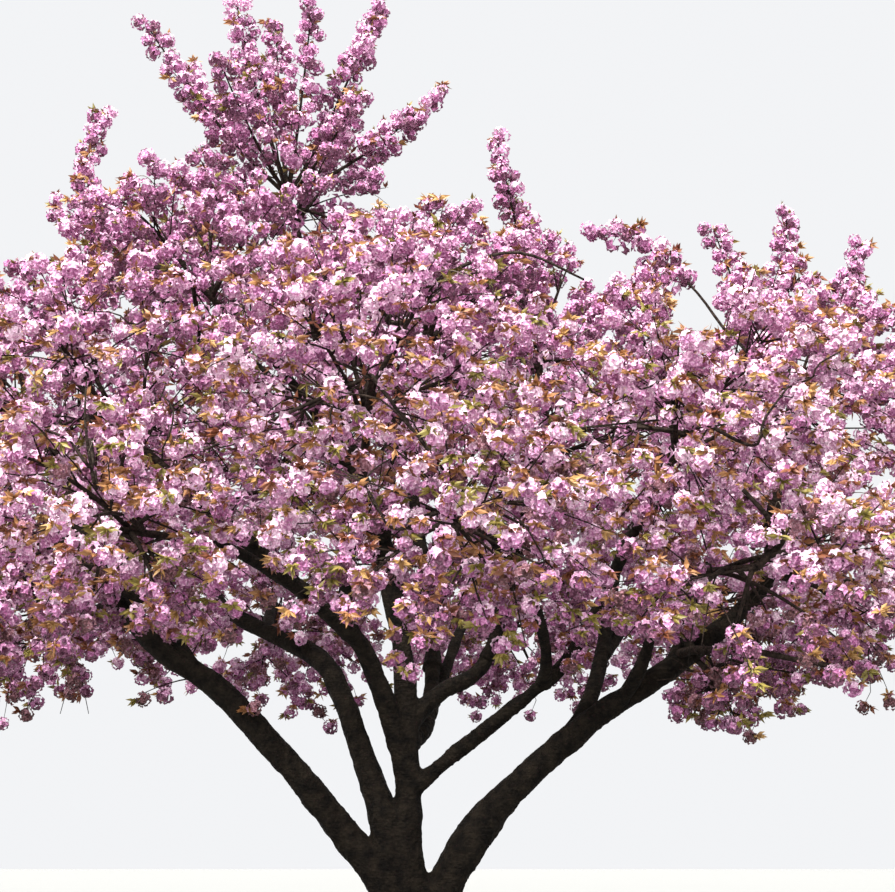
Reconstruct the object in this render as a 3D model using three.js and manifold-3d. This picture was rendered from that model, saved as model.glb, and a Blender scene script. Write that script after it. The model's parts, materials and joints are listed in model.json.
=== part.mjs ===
// A flowering cherry tree of the double pink kind, rooted in the ground.
// Several stems rise from one short foot. Boughs carry rounded masses of blossom, and thin upright
// shoots stand out of the top. Millimetres, +Z up, +X to the right of the viewer, +Y away.
// The origin is the middle of the flat cut at ground level.
import * as THREE from "three";
import { mergeVertices } from "three/addons/utils/BufferGeometryUtils.js";
import Module from "manifold-3d";

const wasm = await Module();
wasm.setup();

// Gaps and clearances
const GAP = 0.35;
const CELL_MARGIN = 4;
const LIMB_MARGIN = 26;
const CORE_CLEARANCE = 26;

// How far faces may move when slivers are merged away
const LIMB_SLIVER = 0.1;
const TWIG_SLIVER = 2;
const SPRAY_SLIVER = 20;

// The foot: a short trunk of two stems grown together, with root lobes at the ground
const TRUNK = {
  height: 600,
  halfWidth: 146,
  halfDepth: 110,
  lean: -85,
  flare: 120,
  flareHeight: 120,
  lobes: 5,
  lobePhase: 0.35,
  seamDepth: 24,
  seamWidth: 0.28,
  heel: 105,
  heelWidth: 0.6,
  heelHeight: 190,
  sides: 20,
  rows: 7,
  rowBias: 1.6,
};

// Limbs
const ENTRY = 0.8; // where a bough ends, as a share of its mass's radius from the mass's centre
const STEM_SIDES = 8;
const BOUGH_SIDES = 6;
const STEM_STEP = 420;
const BOUGH_STEP = 500;
const SAMPLE_STEP = 50;
const BOUGH_EASE = 0.36; // how far along a side bough its two ends keep their headings
const BOUGH_LEAN = 0.5; // how much a side bough follows its parent's heading as it leaves
const FEWEST_STEPS = 3;

// The main stems, each along the few places that give its bend. The last goes on to its mass.
const STEMS = [
  {
    name: "leader",
    start: [-8, 0, TRUNK.height + GAP],
    via: [[-20, 0, 1090], [-45, 40, 1510], [-140, 50, 2150], [-500, 0, 3200]],
    mass: "crown_top",
    radii: [74, 36],
  },
  {
    name: "mid_left_stem",
    start: [-155, 0, TRUNK.height + GAP],
    via: [[-225, 50, 800], [-420, 160, 1320], [-590, 260, 1580], [-1240, 620, 1960]],
    mass: "left_rear",
    radii: [78, 40],
  },
  {
    name: "left_stem",
    start: [-130, 0, 200],
    via: [[-380, 0, 510], [-710, -50, 900], [-1130, -130, 1340], [-1540, -200, 1630], [-1900, -190, 2080]],
    mass: "left",
    radii: [92, 46],
  },
  {
    name: "right_stem",
    start: [135, 0, 105],
    via: [[290, 0, 370], [540, 0, 700], [1040, -50, 1140], [1590, -100, 1510], [2110, -100, 1960]],
    mass: "right",
    radii: [102, 42],
    burr: { at: 0.15, width: 0.07, height: 20 },
  },
  {
    name: "front_stem",
    from: "leader",
    at: 0.07,
    via: [[-105, -50, 1140], [-255, -200, 1540], [-470, -400, 1760]],
    mass: "left_front",
    radii: [66, 36],
  },
  {
    name: "right_front_limb",
    from: "leader",
    at: 0.042,
    via: [[320, -50, 1020], [690, -150, 1300], [960, -280, 1560]],
    mass: "right_front",
    radii: [50, 32],
  },
  {
    name: "right_centre_limb",
    from: "leader",
    at: 0.155,
    via: [[180, 100, 1350], [460, 200, 1560], [680, 160, 2300]],
    mass: "upper_right",
    radii: [56, 28],
  },
  {
    name: "rear_stem",
    from: "leader",
    at: 0.115,
    via: [[100, 330, 1240], [110, 700, 1900]],
    mass: "upper_rear",
    radii: [58, 30],
  },
];

// The side boughs: each leaves its parent at a share of its length and arches to its mass
const BOUGHS = [
  { from: "leader", at: 0.3, mass: "heart_left", radii: [36, 24], rise: 0.3 },
  { from: "leader", at: 0.4, mass: "upper_rear_left", radii: [36, 24], rise: 0.5 },
  { from: "leader", at: 0.47, mass: "upper_front", radii: [36, 24], rise: 0.5 },
  { from: "leader", at: 0.54, mass: "upper_left", radii: [36, 24], rise: 0.5 },
  { from: "front_stem", at: 0.42, mass: "front", radii: [42, 26], rise: 0.4 },
  { from: "front_stem", at: 0.6, mass: "low_front_left", radii: [36, 24], rise: -0.05 },
  { from: "mid_left_stem", at: 0.55, mass: "low_rear_left", radii: [38, 24], rise: -0.05 },
  { from: "left_stem", at: 0.48, mass: "low_left_front", radii: [38, 24], rise: -0.05 },
  { from: "left_stem", at: 0.66, mass: "low_left_rear", radii: [36, 24], rise: -0.05 },
  { from: "right_front_limb", at: 0.45, mass: "low_front_right", radii: [34, 22], rise: -0.05 },
  { from: "right_centre_limb", at: 0.3, mass: "heart_right", radii: [34, 22], rise: 0.4 },
  { from: "rear_stem", at: 0.3, mass: "rear", radii: [44, 26], rise: 0.4 },
  { from: "rear_stem", at: 0.16, mass: "low_rear_right", radii: [40, 24], rise: -0.05 },
  { from: "right_stem", at: 0.4, mass: "right_rear", radii: [50, 28], rise: 0.4 },
  { from: "right_stem", at: 0.5, mass: "low_right_front", radii: [40, 24], rise: -0.1 },
  { from: "right_stem", at: 0.6, mass: "low_right", radii: [40, 24], rise: -0.2 },
  { from: "right_rear_bough", at: 0.35, mass: "low_right_rear", radii: [34, 22], rise: -0.1 },
  { from: "low_right_bough", at: 0.32, mass: "hanging_right", radii: [24, 18], rise: -0.6 },
];

// The masses of blossom: rings of them round the crown, and four that stand alone
const RINGS = [
  {
    names: ["upper_right", "upper_rear", "upper_rear_left", "upper_left", "upper_front"],
    heights: [3680, 3850, 3900, 3700, 3350],
    middle: [-400, 0],
    reach: [1250, 1200],
    firstAngle: 8,
    radii: [900, 900, 720],
  },
  {
    names: ["right", "right_rear", "rear", "left_rear", "left", "left_front", "front", "right_front"],
    heights: [3100, 2950, 2950, 3000, 3050, 2820, 2750, 2660],
    middle: [0, 0],
    reach: [2330, 2030],
    firstAngle: -4,
    radii: [1080, 1080, 880],
  },
  {
    names: ["low_right", "low_right_rear", "low_rear_right", "low_rear_left", "low_left_rear",
      "low_left_front", "low_front_left", "low_front_right", "low_right_front"],
    heights: [1930, 1950, 2000, 2000, 1900, 1870, 2000, 1990, 1830],
    middle: [0, 0],
    reach: [2600, 2350],
    firstAngle: -6,
    radii: [980, 980, 720],
  },
];
const LONE_MASSES = [
  { name: "crown_top", centre: [-800, 0, 4500], radii: [720, 700, 560] },
  { name: "heart_left", centre: [-900, 100, 2800], radii: [760, 760, 760] },
  { name: "heart_right", centre: [1000, -420, 2860], radii: [740, 740, 740] },
  { name: "hanging_right", centre: [1780, -560, 1330], radii: [430, 400, 300] },
];

// The upright shoots that stand out of a mass: the tip of each, and the bend of one that turns upright
const SHOOTS = {
  crown_top: [
    { tip: [-1720, -250, 5630] },
    { tip: [-1540, 450, 5650] },
    { tip: [-1170, -100, 5900] },
    { tip: [-940, 280, 5880] },
    { tip: [-645, -300, 5720] },
    { tip: [-240, 50, 5890] },
    { tip: [180, -120, 5210] },
    { tip: [-320, -560, 4990] },
    { tip: [-420, 640, 5480] },
    { tip: [-1180, -640, 5180] },
  ],
  upper_left: [{ tip: [-1990, -60, 5090], bend: [-2340, -300, 4000] }, { tip: [-2280, -150, 4420] }],
  upper_right: [{ tip: [535, -60, 4920] }],
  right: [{ tip: [1900, -100, 4280] }, { tip: [2360, -120, 4390] }, { tip: [2830, -100, 4180] }],
  left: [{ tip: [-2700, -80, 4020] }],
};

// Twigs and what they carry
const TWIGS = 10;
const TWIG_REACH = 0.86;
const TWIG_STARTS = [0.45, 0.95]; // the stretch of the stem that twigs branch from
const TWIG_RADII = [17, 9];
const TWIG_SIDES = 3;
const TWIG_STEPS = 1;
const TWIG_BOW = 0.12;
const PULLS = [1, 0.88, 0.76, 0.64];
const SPRAY_SHARE = 0.3;
const SPRAY_SPREAD = [0.85, 1.15];
const SPRAY_ROUGHNESS = 0.16;
const CORE_SHARE = 0.7;
const CORE_ROUGHNESS = 0.14;
const SHOOT = { bareRadius: 15, bareShare: 0.38, radii: [118, 62], roughness: 0.4, sides: 6, step: 150 };
const FORK = { every: 3, at: 0.5, turn: 0.62, radii: [10, 7] };
const LEAF = { length: 190, width: 84, thickness: 9, sunk: 45 };
const CORE_STEP = 0.05; // how far a core's point draws in at a time to keep to its space
const NEARBY = 1.2; // limbs within this share of a mass's size are cut out of its core
const GOLDEN_ANGLE = Math.PI * (3 - Math.sqrt(5));
const SEEDS = 1e6;
const FIRST_SEED = 101;
const SEED_STEP = 37;

// Colours
const BARK = new THREE.MeshStandardMaterial({ color: 0x2e2622, roughness: 0.9, metalness: 0 });
const BLOSSOM = new THREE.MeshStandardMaterial({ color: 0xd08fc0, roughness: 0.8, metalness: 0 });

// A repeatable source of numbers from 0 to 1
function seeded(seed) {
  let state = seed;
  return () => {
    state = (state + 0x6d2b79f5) | 0;
    let mixed = Math.imul(state ^ (state >>> 15), 1 | state);
    mixed = (mixed + Math.imul(mixed ^ (mixed >>> 7), 61 | mixed)) ^ mixed;
    return ((mixed ^ (mixed >>> 14)) >>> 0) / 4294967296;
  };
}

function lerp(a, b, share) {
  return a + (b - a) * share;
}

function vector(place) {
  return new THREE.Vector3(...place);
}

// Solids and their booleans

function weld(geometry) {
  geometry.deleteAttribute("normal");
  geometry.deleteAttribute("uv");
  return mergeVertices(geometry, 1e-3);
}

function solidOf(geometry) {
  return new wasm.Manifold(new wasm.Mesh({
    numProp: 3,
    vertProperties: new Float32Array(geometry.attributes.position.array),
    triVerts: new Uint32Array(geometry.index.array),
  }));
}

// The largest single body of a solid: loose scraps and sealed hollows are dropped
function mainBody(solid, sliver) {
  const bodies = solid.asOriginal().simplify(sliver).decompose();
  return bodies.sort((a, b) => b.volume() - a.volume())[0];
}

function meshOf(name, solid, material) {
  const { vertProperties, triVerts } = solid.getMesh();
  const geometry = new THREE.BufferGeometry();
  geometry.setAttribute("position", new THREE.BufferAttribute(new Float32Array(vertProperties), 3));
  geometry.setIndex(new THREE.BufferAttribute(new Uint32Array(triVerts), 1));
  geometry.computeVertexNormals();
  const mesh = new THREE.Mesh(geometry, material);
  mesh.name = name;
  return mesh;
}

// The trunk's half-breadth at an angle round it and a height
function trunkBreadth(angle, height) {
  const across = Math.cos(angle) / TRUNK.halfWidth;
  const along = Math.sin(angle) / TRUNK.halfDepth;
  const oval = 1 / Math.hypot(across, along);
  const seam = TRUNK.seamDepth * Math.exp(-((Math.cos(angle) / TRUNK.seamWidth) ** 2));
  const lobe = (0.5 + 0.5 * Math.cos(TRUNK.lobes * angle + TRUNK.lobePhase)) ** 1.5;
  const flare = TRUNK.flare * lobe * Math.exp(-height / TRUNK.flareHeight);
  const heel = TRUNK.heel * Math.exp(-((angle / TRUNK.heelWidth) ** 2) - height / TRUNK.heelHeight);
  return oval - seam + flare + heel;
}

function trunkSolid(swell = 0) {
  const geometry = weld(new THREE.CylinderGeometry(1, 1, 1, TRUNK.sides, TRUNK.rows));
  const position = geometry.attributes.position;
  for (let i = 0; i < position.count; i++) {
    const share = position.getY(i) + 0.5;
    const height = TRUNK.height * share ** TRUNK.rowBias + (share > 0.99 ? swell : 0);
    const rim = Math.hypot(position.getX(i), position.getZ(i));
    const angle = Math.atan2(-position.getZ(i), position.getX(i));
    const breadth = rim > 0.5 ? trunkBreadth(angle, height) + swell : 0;
    const shift = TRUNK.lean * (1 - Math.exp(-height / TRUNK.flareHeight));
    position.setXYZ(i, shift + breadth * Math.cos(angle), breadth * Math.sin(angle), height);
  }
  return solidOf(geometry);
}

// A tapering limb along a curve, with flat ends; swell makes it that much fatter all over
function limbSolid(curve, radiusAt, sides, steps, swell = 0) {
  const geometry = weld(new THREE.CylinderGeometry(1, 1, 1, sides, steps));
  const frames = curve.computeFrenetFrames(steps, false);
  const position = geometry.attributes.position;
  for (let i = 0; i < position.count; i++) {
    const row = Math.round((position.getY(i) + 0.5) * steps);
    const share = row / steps;
    const point = curve.getPointAt(share);
    const radius = radiusAt(share) + swell;
    point.addScaledVector(frames.normals[row], position.getX(i) * radius);
    point.addScaledVector(frames.binormals[row], -position.getZ(i) * radius);
    if (row === 0) point.addScaledVector(frames.tangents[row], -swell);
    if (row === steps) point.addScaledVector(frames.tangents[row], swell);
    position.setXYZ(i, point.x, point.y, point.z);
  }
  return solidOf(geometry);
}

// The crown's plan

function plannedMasses() {
  const masses = [];
  for (const ring of RINGS) {
    ring.names.forEach((name, i) => {
      const angle = THREE.MathUtils.degToRad(ring.firstAngle + (360 * i) / ring.names.length);
      const x = ring.middle[0] + ring.reach[0] * Math.cos(angle);
      const y = ring.middle[1] + ring.reach[1] * Math.sin(angle);
      masses.push({ name, centre: vector([x, y, ring.heights[i]]), radii: vector(ring.radii) });
    });
  }
  for (const { name, centre, radii } of LONE_MASSES) {
    masses.push({ name, centre: vector(centre), radii: vector(radii) });
  }
  masses.forEach((mass, i) => {
    mass.seed = FIRST_SEED + SEED_STEP * i;
    mass.size = (mass.radii.x + mass.radii.y + mass.radii.z) / 3;
  });
  return masses;
}

// How far a point lies inside a mass's own space, which planes between the masses divide
function roomInCell(mass, point, masses) {
  let room = Infinity;
  for (const other of masses) {
    if (other === mass) continue;
    const across = other.centre.clone().sub(mass.centre);
    const distance = across.length();
    const share = 0.5 + (mass.size ** 2 - other.size ** 2) / (2 * distance ** 2);
    const along = point.clone().sub(mass.centre).dot(across) / distance;
    room = Math.min(room, share * distance - along);
  }
  return room;
}

// The radius of a mass's ellipsoid along a direction
function reachAlong(mass, direction) {
  const { x, y, z } = mass.radii;
  return 1 / Math.hypot(direction.x / x, direction.y / y, direction.z / z);
}

function entryOf(mass, direction) {
  return mass.centre.clone().addScaledVector(direction, -ENTRY * reachAlong(mass, direction));
}

function taper(radii, burr) {
  return (share) => {
    const swelling = burr ? burr.height * Math.exp(-(((share - burr.at) / burr.width) ** 2)) : 0;
    return lerp(radii[0], radii[1], share) + swelling;
  };
}

function limbOf(name, mass, curve, radii, burr, sides, step) {
  const limb = { name, mass, curve, sides, radiusAt: taper(radii, burr), endRadius: radii[1] };
  limb.steps = Math.max(FEWEST_STEPS, Math.round(curve.getLength() / step));
  return limb;
}

function plannedLimbs(masses) {
  const limbs = new Map();
  const massOf = (name) => masses.find((mass) => mass.name === name);
  for (const stem of STEMS) {
    const start = stem.from ? limbs.get(stem.from).curve.getPointAt(stem.at) : vector(stem.start);
    const mass = massOf(stem.mass);
    const places = [start, ...stem.via.map(vector)];
    const inward = mass.centre.clone().sub(places.at(-1)).normalize();
    places.push(entryOf(mass, inward));
    const curve = new THREE.CatmullRomCurve3(places, false, "catmullrom", 0.5);
    limbs.set(stem.name, limbOf(stem.name, mass, curve, stem.radii, stem.burr, STEM_SIDES, STEM_STEP));
  }
  for (const bough of BOUGHS) {
    const parent = limbs.get(bough.from).curve;
    const start = parent.getPointAt(bough.at);
    const mass = massOf(bough.mass);
    const towards = mass.centre.clone().sub(start).normalize();
    const inward = towards.clone().setZ(0).normalize().add(vector([0, 0, bough.rise])).normalize();
    if (bough.rise > 0) inward.add(towards).normalize();
    const end = entryOf(mass, inward);
    const distance = end.distanceTo(start);
    const leaving = parent.getTangentAt(bough.at).multiplyScalar(BOUGH_LEAN).add(towards).normalize();
    const ease = BOUGH_EASE * distance;
    const curve = new THREE.CubicBezierCurve3(
      start,
      start.clone().addScaledVector(leaving, ease),
      end.clone().addScaledVector(inward, -ease),
      end,
    );
    const name = `${bough.mass}_bough`;
    limbs.set(name, limbOf(name, mass, curve, bough.radii, null, BOUGH_SIDES, BOUGH_STEP));
  }
  return [...limbs.values()];
}

// The stem of a mass goes on from its bough's tip to the mass's centre
function massStem(limb) {
  const tip = limb.curve.getPointAt(1);
  const heading = limb.curve.getTangentAt(1);
  const start = tip.clone().addScaledVector(heading, GAP);
  const distance = limb.mass.centre.distanceTo(start);
  const bend = start.clone().addScaledVector(heading, 0.5 * distance);
  const curve = new THREE.QuadraticBezierCurve3(start, bend, limb.mass.centre.clone());
  const radiusAt = (share) => lerp(limb.endRadius, TWIG_RADII[0], share);
  return { curve, radiusAt, mass: limb.mass, sides: limb.sides, steps: FEWEST_STEPS };
}

// Places along a limb with its radius there, for the tests of clearance
function samplesOf(limb) {
  const count = Math.ceil(limb.curve.getLength() / SAMPLE_STEP);
  const samples = [];
  for (let i = 0; i <= count; i++) {
    const share = i / count;
    samples.push({ point: limb.curve.getPointAt(share), radius: limb.radiusAt(share) });
  }
  return samples;
}

function isClear(point, radius, samples) {
  return samples.every((sample) => {
    const room = sample.radius + radius + LIMB_MARGIN;
    return point.distanceToSquared(sample.point) > room * room;
  });
}

// Growth of one mass

// A bowed curve from a point on the stem to a tip
function twigCurve(start, tip, bow) {
  const middle = start.clone().lerp(tip, 0.5);
  middle.z += bow * start.distanceTo(tip);
  return new THREE.QuadraticBezierCurve3(start, middle, tip);
}

function twigSolid(curve, radii) {
  return limbSolid(curve, taper(radii), TWIG_SIDES, TWIG_STEPS);
}

// A spray of blossom: a rough ball of 20 faces
function spraySolid(centre, radius, random) {
  const geometry = weld(new THREE.IcosahedronGeometry(1, 0));
  const turn = new THREE.Euler(6 * random(), 6 * random(), 6 * random());
  const position = geometry.attributes.position;
  const point = new THREE.Vector3();
  for (let i = 0; i < position.count; i++) {
    point.fromBufferAttribute(position, i).applyEuler(turn);
    point.multiplyScalar(radius * (1 - SPRAY_ROUGHNESS * random())).add(centre);
    position.setXYZ(i, point.x, point.y, point.z);
  }
  return solidOf(geometry);
}

// An upright shoot from the middle of its mass: bare wood low down, then a rough spindle of blossom
function shootSolid(mass, { tip, bend }, random) {
  const curve = bend
    ? new THREE.QuadraticBezierCurve3(mass.centre, vector(bend), vector(tip))
    : twigCurve(mass.centre, vector(tip), -TWIG_BOW);
  const steps = Math.round(curve.getLength() / SHOOT.step);
  const lumps = Array.from({ length: steps + 1 }, () => 1 - SHOOT.roughness * random());
  const radiusAt = (share) => {
    if (share < SHOOT.bareShare) return SHOOT.bareRadius;
    const along = (share - SHOOT.bareShare) / (1 - SHOOT.bareShare);
    return lerp(SHOOT.radii[0], SHOOT.radii[1], along) * lumps[Math.round(share * steps)];
  };
  return limbSolid(curve, radiusAt, SHOOT.sides, steps);
}

// A tuft of young leaves as one pointed blade of 8 faces, from its root towards its tip
function leafSolid(root, direction) {
  const geometry = weld(new THREE.OctahedronGeometry(1, 0));
  const side = new THREE.Vector3(0, 0, 1).cross(direction).normalize();
  const face = direction.clone().cross(side);
  const position = geometry.attributes.position;
  const point = new THREE.Vector3();
  for (let i = 0; i < position.count; i++) {
    point.copy(root);
    point.addScaledVector(direction, (0.5 + 0.5 * position.getX(i)) * LEAF.length);
    point.addScaledVector(side, 0.5 * position.getY(i) * LEAF.width);
    point.addScaledVector(face, 0.5 * position.getZ(i) * LEAF.thickness);
    position.setXYZ(i, point.x, point.y, point.z);
  }
  return solidOf(geometry);
}

// The dense middle of a mass, held inside the mass's own space
function coreSolid(mass, masses, random) {
  const geometry = weld(new THREE.IcosahedronGeometry(1, 1));
  const position = geometry.attributes.position;
  const direction = new THREE.Vector3();
  for (let i = 0; i < position.count; i++) {
    direction.fromBufferAttribute(position, i).normalize();
    const full = reachAlong(mass, direction) * CORE_SHARE * (1 - CORE_ROUGHNESS * random());
    let reach = full;
    let point = mass.centre.clone().addScaledVector(direction, reach);
    while (roomInCell(mass, point, masses) < CELL_MARGIN && reach > CORE_STEP * full) {
      reach -= CORE_STEP * full;
      point = mass.centre.clone().addScaledVector(direction, reach);
    }
    position.setXYZ(i, point.x, point.y, point.z);
  }
  return solidOf(geometry);
}

function curveIsClear(curve, radius, mass, masses, samples) {
  const count = Math.ceil(curve.getLength() / SAMPLE_STEP);
  for (let i = 0; i <= count; i++) {
    const point = curve.getPointAt(i / count);
    if (!isClear(point, radius, samples)) return false;
    if (i > 0 && roomInCell(mass, point, masses) < radius + CELL_MARGIN) return false;
  }
  return true;
}

// The core of a mass, cut clear of the limbs and the other masses' stems that pass it
function clearedCore(mass, masses, others, random) {
  let core = coreSolid(mass, masses, random);
  for (const { curve, radiusAt, sides, steps, samples } of others) {
    const near = samples.some(({ point }) => point.distanceTo(mass.centre) < NEARBY * mass.size);
    if (near) core = core.subtract(limbSolid(curve, radiusAt, sides, steps, CORE_CLEARANCE));
  }
  return core;
}

// A side twig that leaves a twig part of the way along and ends in a young leaf
function forkOf(curve, direction, mass, masses, samples) {
  const heading = direction.clone().applyAxisAngle(new THREE.Vector3(0, 0, 1), FORK.turn);
  const leafTip = mass.centre.clone().addScaledVector(heading, reachAlong(mass, heading));
  const root = leafTip.clone().addScaledVector(heading, -LEAF.length);
  const end = root.clone().addScaledVector(heading, LEAF.sunk);
  const side = twigCurve(curve.getPointAt(FORK.at), end, TWIG_BOW);
  const fits = isClear(leafTip, LEAF.width, samples)
    && roomInCell(mass, leafTip, masses) > LEAF.width + CELL_MARGIN
    && curveIsClear(side, LEAF.width, mass, masses, samples);
  return fits ? [twigSolid(side, FORK.radii), leafSolid(root, heading)] : [];
}

// Twigs round the stem, each ending in a spray. One that would leave the mass's space or touch a
// limb is drawn back, and skipped where that doesn't free it. Every third also forks.
function growTwigs(stem, masses, samples, random) {
  const { mass } = stem;
  const wood = [];
  const sprays = [];
  const turn = 6 * random();
  for (let i = 0; i < TWIGS; i++) {
    const level = 1 - (2 * (i + 0.5)) / TWIGS;
    const ring = Math.sqrt(1 - level * level);
    const angle = turn + i * GOLDEN_ANGLE;
    const direction = new THREE.Vector3(ring * Math.cos(angle), ring * Math.sin(angle), level);
    const radius = SPRAY_SHARE * mass.size * lerp(...SPRAY_SPREAD, random());
    const reach = lerp(TWIG_REACH, 1, random()) * (reachAlong(mass, direction) - radius);
    const start = stem.curve.getPointAt(lerp(...TWIG_STARTS, random()));
    const sprayRandom = seeded(Math.floor(SEEDS * random()));
    const tips = PULLS.map((pull) => mass.centre.clone().addScaledVector(direction, reach * pull));
    const tip = tips.find((place) => roomInCell(mass, place, masses) >= radius + CELL_MARGIN
      && isClear(place, radius, samples)
      && curveIsClear(twigCurve(start, place, TWIG_BOW), TWIG_RADII[0], mass, masses, samples));
    if (!tip) continue;
    const curve = twigCurve(start, tip, TWIG_BOW);
    wood.push(twigSolid(curve, TWIG_RADII));
    sprays.push(spraySolid(tip, radius, sprayRandom));
    if (i % FORK.every === 0) wood.push(...forkOf(curve, direction, mass, masses, samples));
  }
  return { wood, sprays };
}

function massSolid(stem, masses, limbs, stems) {
  const { mass } = stem;
  const random = seeded(mass.seed);
  const others = [...limbs, ...stems.filter((other) => other !== stem)];
  const samples = others.flatMap((other) => other.samples);
  const core = clearedCore(mass, masses, others, random);
  const { wood, sprays } = growTwigs(stem, masses, samples, random);
  wood.push(limbSolid(stem.curve, stem.radiusAt, stem.sides, stem.steps));
  for (const shoot of SHOOTS[mass.name] ?? []) wood.push(shootSolid(mass, shoot, random));
  const blossom = wasm.Manifold.union([core, ...sprays]).asOriginal().simplify(SPRAY_SLIVER);
  return mainBody(wasm.Manifold.union([blossom, ...wood]), TWIG_SLIVER);
}

// The whole tree

function cherryTree() {
  const tree = new THREE.Group();
  const masses = plannedMasses();
  const limbs = plannedLimbs(masses);
  const stems = limbs.map(massStem);
  for (const limb of [...limbs, ...stems]) limb.samples = samplesOf(limb);

  tree.add(meshOf("trunk", trunkSolid(), BARK));
  const cutters = [trunkSolid(GAP)];
  for (const limb of limbs) {
    let solid = limbSolid(limb.curve, limb.radiusAt, limb.sides, limb.steps);
    for (const cutter of cutters) solid = solid.subtract(cutter);
    tree.add(meshOf(limb.name, mainBody(solid, LIMB_SLIVER), BARK));
    cutters.push(limbSolid(limb.curve, limb.radiusAt, limb.sides, limb.steps, GAP));
  }
  for (const stem of stems) {
    tree.add(meshOf(stem.mass.name, massSolid(stem, masses, limbs, stems), BLOSSOM));
  }
  return tree;
}

export default cherryTree();
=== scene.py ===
"""The looks of a flowering cherry tree: bark with relief, twigs, blossom clusters and young leaves.

The limbs, the masses and their first twigs are worked out by the same rule and the same named sizes as the
solids. The twigs are then carried on to finer ones. Metres, +Z up, the photograph looks along +Y.
"""
import itertools
import json
import math

import bpy
import numpy as np
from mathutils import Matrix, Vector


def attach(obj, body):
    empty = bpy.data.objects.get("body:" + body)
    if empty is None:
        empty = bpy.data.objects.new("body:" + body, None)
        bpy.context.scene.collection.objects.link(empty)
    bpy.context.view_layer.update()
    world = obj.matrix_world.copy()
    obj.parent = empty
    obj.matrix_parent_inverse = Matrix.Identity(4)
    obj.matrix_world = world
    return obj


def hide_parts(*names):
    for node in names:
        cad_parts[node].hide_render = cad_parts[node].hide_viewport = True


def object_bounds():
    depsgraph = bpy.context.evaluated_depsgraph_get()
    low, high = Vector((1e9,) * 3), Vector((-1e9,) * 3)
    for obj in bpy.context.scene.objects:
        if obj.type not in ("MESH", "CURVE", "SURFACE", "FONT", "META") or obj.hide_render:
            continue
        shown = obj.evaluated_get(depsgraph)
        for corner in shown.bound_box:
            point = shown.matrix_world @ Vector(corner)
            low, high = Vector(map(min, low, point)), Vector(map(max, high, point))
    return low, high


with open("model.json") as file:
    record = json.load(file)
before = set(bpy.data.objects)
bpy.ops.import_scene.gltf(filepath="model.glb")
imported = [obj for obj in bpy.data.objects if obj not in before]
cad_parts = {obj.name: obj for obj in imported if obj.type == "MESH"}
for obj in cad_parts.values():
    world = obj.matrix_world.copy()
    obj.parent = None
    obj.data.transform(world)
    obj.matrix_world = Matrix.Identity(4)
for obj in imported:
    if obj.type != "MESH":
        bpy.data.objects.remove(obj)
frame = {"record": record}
CAD_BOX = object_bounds()
MASS_NODES = [row["node"] for row in frame["record"]["subparts"] if row["material_slot"] == "blossom"]

# The camera, from the horizon's place in the photograph and the size of the clusters
PHOTO_WIDTH = 895
PHOTO_HEIGHT = 892
FOCAL_PX = 1741.0
HORIZON_PX = 850.0
SENSOR = 36.0
CAMERA_PLACE = (0.22, -10.5, 0.42)
VIEW_DISTANCE = 200
# The lights: name, strength, softness, lean from straight down and turn, all angles in degrees
LIGHTS = (
    ("main_light", 8.4, 26, 40, -28),
    ("fill_front", 2.05, 110, 62, 20),
    ("fill_back", 1.65, 110, 62, 200),
)
LIGHT_COLOUR = (1.0, 0.97, 0.93)
SKY_COLOUR = (0.94, 0.95, 0.97, 1)
SKY_STRENGTH = 0.95
FLOOR_SIZE = 60
FLOOR_HEIGHT = -0.001
FLOOR_COLOURS = ((0.235, 0.24, 0.238), (0.26, 0.265, 0.262))

# Driving sizes of the limbs and masses
GAP = 0.00035
CELL_MARGIN = 0.004
LIMB_MARGIN = 0.026
ENTRY = 0.8
SAMPLE_STEP = 0.05
BOUGH_EASE = 0.36
BOUGH_LEAN = 0.5
CURVE_POINTS = 201
HEADING_STEP = 0.004
SHORTEST = 1e-12

TRUNK_HEIGHT = 0.6
TRUNK = dict(half_width=0.146, half_depth=0.11, lean=-0.085, flare=0.12, flare_height=0.12, lobes=5,
             lobe_phase=0.35, seam_depth=0.024, seam_width=0.28, heel=0.105, heel_width=0.6,
             heel_height=0.19)

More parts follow.
